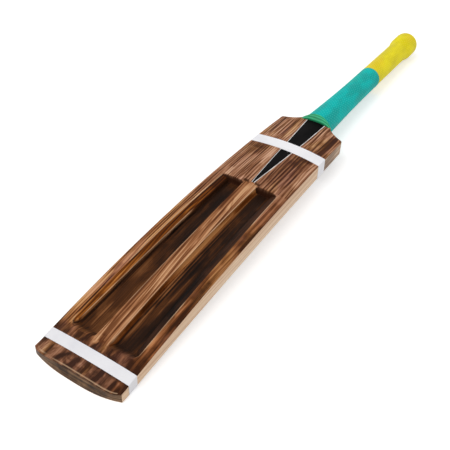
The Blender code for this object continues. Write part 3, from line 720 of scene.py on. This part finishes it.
def build_lower_grip(material):
    """A rubber sleeve with softened lips at its ends."""
    start = NECK_END + COLLAR_LENGTH + 2 * CLEARANCE
    xs = stations(start, GRIP_JOINT - CLEARANCE / 2, COARSE_STEP)
    lips = []
    for x, inwards in ((xs[0], GRIP_LIP / 2), (xs[-1], -GRIP_LIP / 2)):
        radius = grip_radius(x)
        lips.append([(x, radius - GRIP_WALL), (x, radius - GRIP_LIP), (x + inwards, radius - GRIP_LIP / 4)])
    profile = lips[0] + [(x, grip_radius(x)) for x in xs[1:-1]] + lips[1][::-1]
    turned_piece("lower_grip_sleeve", profile, material, "lower_grip")


def upper_radius(x):
    """The upper grip with the rolled bead at its open end."""
    from_joint = (x - GRIP_JOINT) / GRIP_BEAD_LENGTH
    bead = GRIP_BEAD * math.sqrt(max(1 - (2 * from_joint - 1) ** 2, 0.0))
    return knob_radius(x) + bead


def build_upper_grip(material):
    start = GRIP_JOINT + CLEARANCE / 2
    dome = HANDLE_END - KNOB_DOME
    xs = stations(start, start + GRIP_BEAD_LENGTH, GRIP_LIP)
    xs += stations(start + GRIP_BEAD_LENGTH, dome, COARSE_STEP)[1:]
    profile = [(start, grip_radius(start) - GRIP_WALL)]
    profile += [(x, upper_radius(x)) for x in xs]
    for cosine, sine in arc(DOME_STEPS)[1:]:
        profile.append((dome + KNOB_DOME * sine, KNOB_RADIUS - KNOB_DOME * (1 - cosine)))
    profile.append((HANDLE_END, CLEARANCE))
    bottom = HANDLE_END - BUTT_CAP
    profile += [(bottom, CLEARANCE), (bottom, grip_radius(start) - GRIP_WALL)]
    turned_piece("upper_grip_sleeve", profile, material, "upper_grip")


def collar_ring(x, along, groove):
    """One ring of the collar: from the neck's rounded oblong at 0 to the grip's circle at 1."""
    ring = []
    fullness = math.sin(math.pi / 2 * along)
    power = 2 / blend(COLLAR_SQUARENESS, 2.0, fullness)
    for cosine, sine in arc(TURNED_STEPS, 1)[:-1]:
        wide = blend(COLLAR_HALF_WIDTH, GRIP_RADIUS_LOW, along**3) - groove
        tall = blend(COLLAR_ABOVE if sine > 0 else COLLAR_BELOW, GRIP_RADIUS_LOW, fullness) - groove
        across = wide * math.copysign(abs(cosine) ** power, cosine)
        up = tall * math.copysign(abs(sine) ** power, sine)
        ring.append((-up, across, x - COLLAR_FLANK_OVERLAP * cosine * cosine * (1 - along)))
    return ring


def build_collar(material):
    """Soft rolls from the blade's neck up to the round grip."""
    start = NECK_END - COLLAR_OVERLAP
    length = COLLAR_LENGTH + COLLAR_OVERLAP + CLEARANCE
    steps = COLLAR_ROLLS * ROLL_STEPS
    phases = [i / steps * COLLAR_ROLLS % 1.0 for i in range(steps + 1)]
    rings = []
    for i, phase in enumerate(phases):
        along = i / steps
        groove = COLLAR_GROOVE * (2 * abs(phase - 0.5)) ** 3
        rings.append(collar_ring(start + length * along, along, groove))
    rings += [[(x * COLLAR_BORE, y * COLLAR_BORE, z) for x, y, z in ring] for ring in (rings[-1], rings[0])]
    mesh = on_handle("rolled_collar", rings)
    collar = new_piece(mesh, [material], "grip_collar", smooth=60)
    # Marks for the painted shade in the grooves and the painted highlights on the crests
    for name, middle in COLLAR_MARKS.items():
        away = (np.array([*phases, 0.0, 0.0]) - middle + 0.5) % 1.0 - 0.5
        mark(collar.data, name, np.repeat(line(away, COLLAR_MARK_WIDTH), TURNED_STEPS))


# Materials. Ramps go from dark to light, each stop as (place, red, green, blue)

AMBER = ((0, 56, 28, 12), (0.3, 98, 56, 28), (0.5, 136, 84, 48), (0.75, 174, 116, 70), (1, 208, 158, 108))
DUSTY = ((0, 58, 27, 14), (0.3, 104, 61, 38), (0.5, 140, 93, 64), (0.75, 176, 127, 97), (1, 210, 166, 136))
PINK = ((0, 84, 44, 32), (1, 208, 148, 126))
DUSKY = ((0, 56, 35, 27), (0.4, 108, 71, 53), (1, 194, 146, 120))
RUSTY = ((0, 54, 26, 8), (0.4, 108, 60, 28), (1, 192, 122, 80))
GOLDEN = ((0, 74, 42, 16), (0.5, 146, 98, 50), (1, 212, 168, 108))
RIDGE = ((0, 92, 50, 26), (0.35, 138, 88, 54), (0.6, 168, 114, 76), (1, 212, 164, 122))
FLOOR_CHAR = ((0, 18, 9, 5), (0.35, 42, 23, 12), (0.6, 80, 45, 21), (1, 134, 86, 50))
LIT_LEDGE = ((0, 48, 20, 4), (0.4, 98, 48, 9), (0.7, 138, 78, 24), (1, 190, 122, 60))
# The right ledge's colour, partly char and partly painted shade
CHARRED_SHADED_LEDGE = ((0, 16, 9, 6), (1, 74, 44, 28))
LIT_WALL = ((0.1, 62, 28, 6), (0.5, 112, 58, 18), (0.75, 152, 92, 46), (1, 196, 134, 80))
SHADED_WALL = ((0, 10, 5, 3), (1, 66, 38, 22))
END_WALL = ((0, 30, 12, 6), (1, 78, 42, 24))
# Colour of the painted shadow lines at the ridge's step and the scoops' shoulder ends
PAINTED_SHADOW_LINE = (48, 24, 12)
# Colour of the pale edge lines, partly wear and partly painted highlight
WORN_AND_LIT = (226, 188, 150)
TOE_END = ((0, 44, 30, 20), (0.5, 90, 66, 46), (1, 132, 102, 76))
PALE = ((0, 204, 164, 132), (0.4, 222, 188, 156), (1, 236, 208, 178))
SMUDGED = ((0, 96, 70, 52), (1, 158, 130, 106))


class Shader:
    """A tree of shader nodes."""

    def __init__(self, tree):
        self.tree = tree

    def feed(self, socket, value):
        """Links an output to a socket, or sets the socket's own value."""
        if isinstance(value, bpy.types.NodeSocket):
            self.tree.links.new(value, socket)
        else:
            socket.default_value = value

    def add(self, kind, inputs, output=0, **settings):
        """A node with its inputs fed, and one of its outputs."""
        node = self.tree.nodes.new("ShaderNode" + kind)
        for setting, value in settings.items():
            setattr(node, setting, value)
        for socket, value in inputs.items():
            self.feed(node.inputs[socket], value)
        return node.outputs[output]

    def math(self, operation, a, b=0.0):
        return self.add("Math", {0: a, 1: b}, operation=operation)

    def noise(self, scale, detail=2, distortion=0.0, vector=None):
        """Noise from 0 to 1, stretched by a scale for each axis."""
        place = self.add("Mapping", {"Vector": vector or self.place, "Scale": scale})
        inputs = {"Vector": place, "Scale": 1.0, "Detail": detail, "Distortion": distortion}
        return self.add("TexNoise", inputs, "Fac")

    def spread(self, value, low, high, to_low=0.0, to_high=1.0):
        """A smooth change from to_low to to_high while value goes from low to high."""
        inputs = {"Value": value, "From Min": low, "From Max": high, "To Min": to_low, "To Max": to_high}
        return self.add("MapRange", inputs, interpolation_type="SMOOTHSTEP")

    def grain(self, scale, reach, **settings):
        """Noise spread out to 0 and 1 at this reach on either side of its middle."""
        return self.spread(self.noise(scale, **settings), 0.5 - reach, 0.5 + reach)

    def along(self, start, end, *levels):
        """A smooth change between two stations."""
        return self.spread(self.axis(0), TOE_X + start, TOE_X + end, *levels)

    def mix(self, share, a, b):
        return self.add("Mix", {0: share, 6: a, 7: b}, 2, data_type="RGBA")

    def between(self, share, a, b):
        """A number that goes from a to b as share goes from 0 to 1."""
        return self.add("Mix", {0: share, 2: a, 3: b}, data_type="FLOAT")

    def attribute(self, name):
        return self.add("Attribute", {}, "Fac", attribute_name=name)

    def axis(self, index, vector=None):
        return self.add("SeparateXYZ", {0: vector or self.place}, index)

    def scaled(self, value, factor):
        return self.math("MULTIPLY", value, factor)

    def wave(self, value):
        return self.spread(self.math("SINE", value), -1, 1)

    def total(self, *shares):
        """Several values added up, each times its share."""
        result = None
        for value, share in shares:
            part = self.scaled(value, share)
            result = part if result is None else self.math("ADD", result, part)
        return result

    def warped(self, scale, reach):
        """The place on the object, pushed sideways so that straight grain wanders."""
        push = self.scaled(self.math("SUBTRACT", self.noise(scale, 1), 0.5), reach)
        sideways = self.add("CombineXYZ", {1: push})
        return self.add("VectorMath", {0: self.place, 1: sideways}, operation="ADD")

    def ramp(self, value, stops):
        """A colour from stops of (place, red, green, blue)."""
        colour = self.add("ValToRGB", {0: value})
        elements = colour.node.color_ramp.elements
        while len(elements) < len(stops):
            elements.new(0.5)
        for element, (spot, *shade) in zip(elements, stops):
            element.position = spot
            element.color = srgb(*shade)
        return colour

    def growth(self):
        """The blade's growth lines, wider apart on its right side."""
        across = self.axis(1, self.warped((10, 36, 30), 0.012))
        to_right = self.math("MAXIMUM", self.scaled(across, -1), 0)
        widened = self.total((across, 1), (to_right, GROWTH_WIDENING))
        return self.wave(self.scaled(widened, 2 * math.pi / GROWTH_PITCH))

    def ridge_grain(self, tone):
        """Grain of the planed ridge, which runs a little aslant and flows together."""
        turn = {"Vector": self.warped((9, 30, 30), 0.008), "Rotation": (0, 0, -RIDGE_GRAIN_SLANT)}
        slanted = self.add("Mapping", turn)
        lines = self.grain((7, 560, 60), 0.07, vector=slanted)
        bands = self.grain((8, 190, 40), 0.09, vector=slanted)
        return self.total((lines, 0.45), (bands, 0.55), (tone, 1))

    def around_handle(self):
        """The angle round the handle's sloping axis."""
        _, _, along, start = handle_axis().col
        drop = self.scaled(self.math("SUBTRACT", self.axis(0), start.x + TOE_X), along.z / along.x)
        height = self.math("SUBTRACT", self.math("SUBTRACT", self.axis(2), start.z), drop)
        return self.math("ARCTAN2", self.axis(1), height)


class Surface(Shader):
    """A material's Principled shader and the nodes that feed it."""

    def __init__(self, name, gloss):
        self.material = bpy.data.materials.new(name)
        self.material.use_nodes = True
        super().__init__(self.material.node_tree)
        self.sockets = self.tree.nodes["Principled BSDF"].inputs
        self.set({"Specular IOR Level": gloss})
        self.place = self.add("TexCoord", {}, "Object")

    def set(self, values):
        for socket, value in values.items():
            self.feed(self.sockets[socket], value)

    def finish(self, colour, roughness, height, distance=0.0002, strength=0.3):
        bump = self.add("Bump", {"Height": height, "Distance": distance, "Strength": strength})
        self.set({"Base Color": colour, "Roughness": roughness, "Normal": bump})
        return self.material


def linear(level):
    """A screen value from 0 to 255 as a shader takes it."""
    return ((level / 255 + 0.055) / 1.055) ** 2.4 if level > 10 else level / (255 * 12.92)


def srgb(*levels):
    """A colour from screen values."""
    return (*map(linear, levels), 1)


def streaks_at(x, y):
    """How much lighter or darker the streaks make each point of the back."""
    total = np.zeros(len(x))
    for start, end, from_y, to_y, half_width, change in STREAKS:
        along = (x * 1000 - start) / (end - start)
        away = (y * 1000 - blend(from_y, to_y, along)) / half_width
        ends = ease(along * STREAK_TAPER) * ease((1 - along) * STREAK_TAPER)
        total += change * ends * line(away, 1)
    return total


def within(value, start, end, fade=ZONE_FADE):
    """1 between two stations, fading out at both."""
    return ease((value - start) / fade + 0.5) * ease((end - value) / fade + 0.5)


def paint_blade(mesh):
    """Marks the zones of the blade, and how light the wood is at each point."""
    x, y = stations_of(mesh)
    outer, inner, toe, end = scoop_places(x, y)
    opening = scoop_opening(x, y)
    width = ledge_width(x)
    half = blade_half(x)
    left = y > 0
    edges = {"outer": outer, "inner": inner + EDGE_LINE_WIDTH, "toe": opening}
    edges["ledge"] = outer - width + EDGE_SOFTNESS
    sides = {"left": left, "right": ~left, "both": 1}
    # Pale lines along the listed edges, partly wear and partly painted highlight
    wear_and_highlight = 0
    for edge, side, first, last, share in WEAR_AND_HIGHLIGHTS:
        wear_and_highlight += share * line(edges[edge]) * within(x, first, last) * sides[side]
    scoop = ease(opening / EDGE_SOFTNESS)
    ledge = scoop * (1 - ease((outer - width) / EDGE_SOFTNESS))
    toe_edge = x - TOE_START + TOE_SWEEP_BACK * (1 - np.abs(y / half) ** TOE_BACK_POWER)
    # Painted shadow lines at the ridge's step before the splice and round the scoops' shoulder ends
    step = line(x - SPLICE_TIP + EDGE_LINE_WIDTH, STEP_LINE) * within(np.abs(y), *STEP_SPAN, STEP_SPAN_FADE)
    step += END_DARKNESS * line(opening - EDGE_SOFTNESS, END_LINE) * (end < RIM_FADE)
    past_scoops = ease(-end / RIM_FADE)
    lined = LINED_RIMS * fade_in(x, *LINED_FADE) + (1 - LINED_RIMS) * past_scoops
    lined += LINED_LEFT * left * within(x, SCOOP_START, SCOOP_END)
    tone = streaks_at(x, y) + SIDE_TONE * np.clip(y / SIDE_TONE_REACH, -1, 1)
    right_rim = ease((-y - SCOOP_OUTER[-1]) / RIM_FADE)
    tone += RIM_TONE * right_rim * within(x, SCOOP_START, SCOOP_END, RIM_TONE_FADE)
    tone += TOE_TONE * (1 - fade_in(x, *TOE_TONE_FADE))
    outer_wall = 1 - ease((outer - width - SCOOP_WALL) / SCOOP_WALL)
    on_ridge = 1 - ease(inner / EDGE_SOFTNESS)
    marks = {
        "floor": scoop * (1 - ledge) * ease(toe / ZONE_FADE),
        "ledge": ledge * left,
        # The right ledge, painted dark: partly char and partly painted shade
        "charred_shaded_ledge": ledge * ~left,
        "outer_wall": scoop * (1 - ledge) * outer_wall * ease(toe / SHORT_FADE - 1),
        "inner_wall": scoop * (1 - ease((inner - SCOOP_WALL) / (1.5 * SCOOP_WALL))) * ~left,
        "end_wall": scoop * (1 - ease((end - SCOOP_WALL) / SCOOP_WALL)),
        "ridge": on_ridge * within(x, SCOOP_START, SPLICE_TIP, SHORT_FADE),
        "wear_and_highlight": np.clip(wear_and_highlight, 0, 1),
        # A pale line along the toe's upper edge, partly wear and partly painted highlight
        "toe_line": line(toe_edge - FACE_EDGE_RADIUS) * (np.abs(y) < half - SHORT_FADE),
        "step": step,
        "lined": np.clip(lined, 0, 1),
        "tone": tone,
    }
    for name, values in marks.items():
        mark(mesh, name, values)


def burnt_willow():
    """The flamed back: streaky amber grain, charred scoops, painted light and shade on ledges and walls,
    pale edge lines that are partly wear and partly painted highlight, and painted shadow lines.
    """
    s = Surface("burnt_willow", 0.06)
    place = s.warped((7, 22, 22), 0.01)
    rings = s.grain((5, 440, 60), 0.05, detail=1, vector=place)
    fine = s.grain((16, 1300, 200), 0.1, vector=place)
    broad = s.grain((9, 110, 40), 0.12, vector=place)
    flame = s.grain((30, 70, 40), 0.12, detail=3, distortion=0.6)
    blotches = s.grain((60, 120, 60), 0.1, distortion=0.8)
    off_middle = s.math("SUBTRACT", s.noise((5, 310, 50), 1, vector=place), 0.5)
    veins = s.spread(s.math("ABSOLUTE", off_middle), 0, 0.04)
    tone = s.attribute("tone")
    blotched = s.total((rings, 0.06), (fine, 0.12), (broad, 0.22), (flame, 0.26), (blotches, 0.3))
    calm = s.total((rings, 0.1), (fine, 0.14), (broad, 0.38), (flame, 0.38))
    calm = s.between(s.along(0.026, 0.044), blotched, calm)
    growth = s.total((s.growth(), 0.34), (veins, 0.32), (1.0, -0.23))
    lined = s.total((growth, 1), (rings, 0.24), (fine, 0.16), (broad, 0.16), (flame, 0.1))
    light = s.total((s.between(s.attribute("lined"), calm, lined), 1), (tone, 1))
    far = s.along(0.1, 0.2)
    char = s.total((tone, 1), (far, -0.22), (1.0, 0.28))
    deep = s.total((char, 1), (fine, 0.12), (rings, 0.08), (broad, 0.16), (flame, 0.18))
    right_rim = s.scaled(s.spread(s.axis(1), -0.046, -0.036, 0.6, 0), s.along(0.29, 0.33, 1, 0))
    layers = (
        (s.along(0.2, 0.34), light, DUSTY),
        (s.spread(s.noise((22, 55, 40)), 0.52, 0.68, 0, 0.4), light, PINK),
        (s.along(0.018, 0.04, 0.7, 0), light, DUSKY),
        (right_rim, light, RUSTY),
        (s.spread(s.noise((14, 60, 40), distortion=0.4), 0.5, 0.66, 0, 0.45), light, GOLDEN),
        (s.attribute("ridge"), s.ridge_grain(tone), RIDGE),
        (s.attribute("floor"), deep, FLOOR_CHAR),
        (s.attribute("ledge"), s.total((light, 1), (far, -0.36)), LIT_LEDGE),
        # The right ledge, painted dark: partly char and partly painted shade
        (s.attribute("charred_shaded_ledge"), light, CHARRED_SHADED_LEDGE),
        (s.attribute("inner_wall"), s.total((light, 1), (s.along(0.11, 0.17), 0.4)), LIT_WALL),
        (s.attribute("outer_wall"), light, SHADED_WALL),
        (s.attribute("end_wall"), deep, END_WALL),
    )
    colour = s.ramp(light, AMBER)
    for share, value, stops in layers:
        colour = s.mix(share, colour, s.ramp(value, stops))
    # Painted shadow lines at the ridge's step and the scoops' shoulder ends
    colour = s.mix(s.scaled(s.attribute("step"), 0.9), colour, srgb(*PAINTED_SHADOW_LINE))
    # Pale edge lines and the toe's upper edge line, partly wear and partly painted highlight
    worn_and_lit = s.scaled(s.attribute("wear_and_highlight"), s.spread(fine, 0, 1, 0.45, 0.85))
    for share in (worn_and_lit, s.scaled(s.attribute("toe_line"), 0.55)):
        colour = s.mix(share, colour, srgb(*WORN_AND_LIT))
    height = s.total((rings, 0.6), (fine, 0.4))
    return s.finish(colour, s.spread(rings, 0, 1, 0.46, 0.62), height, 0.0003, 0.5)


def raw_willow():
    """Bare willow of sides and face: close straight grain, smudged past the shoulder tape."""
    s = Surface("raw_willow", 0.2)
    place = s.warped((4, 12, 12), 0.006)
    grain = s.grain((3, 240, 300), 0.12, vector=place)
    fine = s.grain((14, 900, 900), 0.14, detail=3, vector=place)
    light = s.total((grain, 0.6), (fine, 0.4))
    smudge = s.spread(s.noise((26, 60, 60), detail=3), 0.3, 0.6, 0.45, 0.95)
    dirt = s.scaled(s.along(SHOULDER_TAPE_START, SHOULDER_TAPE_END), smudge)
    colour = s.mix(dirt, s.ramp(light, PALE), s.ramp(light, SMUDGED))
    return s.finish(colour, s.spread(fine, 0, 1, 0.5, 0.62), fine)


def toe_willow():
    """The toe's burnt end, striped by growth rings."""
    s = Surface("toe_willow", 0.12)
    layers = s.grain((50, 26, 520), 0.12)
    blotches = s.grain((60, 60, 60), 0.14)
    colour = s.ramp(s.total((layers, 0.55), (blotches, 0.45)), TOE_END)
    return s.finish(colour, s.spread(layers, 0, 1, 0.5, 0.65), layers, 0.0003, 0.4)


def dimpled_rubber(name, pale, plain, dark, accent, roughness):
    """Clouded grip rubber with rows of small raised dots round the handle."""
    s = Surface(name, 0.1)
    rows = s.scaled(s.axis(0), math.pi / DOT_PITCH)
    lanes = s.scaled(s.around_handle(), DOTS_AROUND)
    crossed = [s.wave(s.math(operation, rows, lanes)) for operation in ("ADD", "SUBTRACT")]
    dots = s.spread(s.scaled(*crossed), 0.1, 0.9)
    cloud = s.grain((28, 60, 60), 0.14, detail=3)
    blush = s.spread(s.noise((16, 34, 34), distortion=0.5), 0.5, 0.7)
    colour = s.mix(cloud, srgb(*dark), srgb(*plain))
    colour = s.mix(s.scaled(blush, 0.35), colour, srgb(*accent))
    colour = s.mix(s.scaled(dots, 0.3), colour, srgb(*pale))
    return s.finish(colour, s.spread(cloud, 0, 1, roughness, roughness + 0.12), dots, 0.0003, 0.4)


def edging_film():
    """The cover's border, black inside and white along its outer edge."""
    s = Surface("white_edging", 0.03)
    dirt = s.grain((120, 300, 40), 0.15, detail=3)
    black = s.mix(dirt, srgb(13, 11, 12), srgb(8, 7, 8))
    white = s.mix(dirt, srgb(214, 208, 204), srgb(244, 243, 242))
    colour = s.mix(s.spread(s.attribute("white"), 0.35, 0.65), black, white)
    return s.finish(colour, s.spread(dirt, 0, 1, 0.5, 0.6), dirt, 0.0001, 0.3)


def rolled_rubber():
    """The collar: painted highlights on the crests, painted shade in the grooves between the rolls."""
    s = Surface("green_rubber", 0.3)
    cloud = s.grain((70, 70, 70), 0.14, detail=3)
    colour = s.mix(cloud, srgb(16, 146, 94), srgb(34, 176, 122))
    # Painted shade in the grooves between the rolls, then painted highlights on the crests
    colour = s.mix(s.scaled(s.attribute("groove"), 0.75), colour, srgb(6, 84, 54))
    colour = s.mix(s.scaled(s.attribute("crest_highlight"), 0.5), colour, srgb(92, 206, 158))
    return s.finish(colour, s.spread(cloud, 0, 1, 0.42, 0.55), cloud)


def clouded(name, colour_a, colour_b, scale, roughness, gloss=0.5):
    """A material of two close colours in fine clouds or fibres."""
    s = Surface(name, gloss)
    cloud = s.noise(scale, detail=3)
    colour = s.mix(s.spread(cloud, 0.35, 0.65), srgb(*colour_a), srgb(*colour_b))
    return s.finish(colour, s.spread(cloud, 0.3, 0.7, roughness, roughness + 0.1), cloud)


def dress(prefix, material):
    """Gives a material to the CAD nodes whose names start like this."""
    for name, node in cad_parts.items():
        if name.startswith(prefix):
            slots = node.data.materials
            for i in range(len(slots)):
                slots[i] = material


# Stage


def rotation(degrees, axis):
    return Matrix.Rotation(math.radians(degrees), 4, axis)


def aimed(heading, height):
    """A frame whose Z axis has this heading and this height over the floor, in degrees."""
    return rotation(heading + 90, "Z") @ rotation(90 - height, "X")


def seen(shader, unseen_level, seen_level):
    """A strength with one level for the light it gives and another for how it looks."""
    rays = ("Is Camera Ray", "Is Glossy Ray", "Is Transmission Ray")
    camera, glossy, through_glass = [shader.add("LightPath", {}, ray) for ray in rays]
    looked_at = shader.math("MAXIMUM", shader.math("MAXIMUM", camera, glossy), through_glass)
    return shader.add("MapRange", {"Value": looked_at, "To Min": unseen_level, "To Max": seen_level})


def build_floor():
    mesh = bpy.data.meshes.new("floor")
    corners = [(x * FLOOR_REACH, y * FLOOR_REACH, 0) for x, y in ((-1, -1), (1, -1), (1, 1), (-1, 1))]
    mesh.from_pydata(corners, [], [(0, 1, 2, 3)])
    floor = new_object("floor", mesh)
    floor.location.z = -FLOOR_DROP
    s = Surface("floor", 0.1)
    glow = seen(s, 0.0, FLOOR_GLOW)
    s.set({"Base Color": FLOOR_GREY, "Roughness": 0.9, "Emission Color": WHITE, "Emission Strength": glow})
    mesh.materials.append(s.material)


def build_lights():
    world = bpy.data.worlds.new("studio")
    world.use_nodes = True
    bpy.context.scene.world = world
    sky = Shader(world.node_tree)
    background = sky.tree.nodes["Background"].inputs
    sky.feed(background["Color"], WHITE)
    sky.feed(background["Strength"], seen(sky, SKY_LEVEL, 1.0))
    for name, heading, height, softness, level in LAMPS:
        lamp = bpy.data.lights.new(name, "SUN")
        lamp.energy = level
        lamp.angle = math.radians(softness)
        new_object(name, lamp).matrix_world = aimed(heading, height)


def build_camera():
    camera = bpy.data.cameras.new("photo_camera")
    camera.lens = CAMERA_LENS
    camera.clip_start = CAMERA_NEAREST
    eye = new_object("photo_camera", camera)
    aim = Matrix.Translation(CAMERA_AIM + Vector((TOE_X, 0, 0))) @ aimed(CAMERA_HEADING + 180, CAMERA_DOWN)
    eye.matrix_world = aim @ Matrix.Translation((0, 0, CAMERA_DISTANCE)) @ rotation(CAMERA_ROLL, "Z")
    bpy.context.scene.camera = eye


# CAD nodes that show as they are: the start of their names, then what clouded takes
CLOUDED_NODES = (
    ("cane_", "cane", (214, 178, 120), (190, 150, 96), (5, 700, 700), 0.6),
    ("rubber_spring_", "spring_rubber", (44, 42, 42), (58, 55, 54), (80, 80, 80), 0.75),
    ("twine_binding", "twine", (196, 186, 160), (160, 146, 118), (600, 60, 60), 0.8),
    ("toe_tape", "white_tape", (234, 233, 236), (226, 225, 230), (40, 40, 40), 0.6, 0.2),
    ("splice_panel", "black_film", (13, 11, 12), (8, 7, 8), (20, 80, 20), 0.5, 0.03),
)

bpy.context.scene.view_settings.view_transform = "Standard"
build_camera()
build_floor()
build_lights()
build_blade(burnt_willow(), raw_willow(), toe_willow())
teal = ((84, 212, 208), (2, 184, 178), (0, 160, 152), (14, 190, 170))
yellow = ((244, 234, 100), (238, 222, 32), (220, 204, 12), (240, 194, 28))
build_lower_grip(dimpled_rubber("teal_rubber", *teal, 0.55))
build_upper_grip(dimpled_rubber("yellow_rubber", *yellow, 0.5))
build_collar(rolled_rubber())
for prefix, *finish in CLOUDED_NODES:
    dress(prefix, clouded(*finish))
build_shoulder_tape(clouded("bright_tape", (246, 245, 248), (238, 237, 241), (40, 40, 40), 0.6, 0.2))
build_border(edging_film())
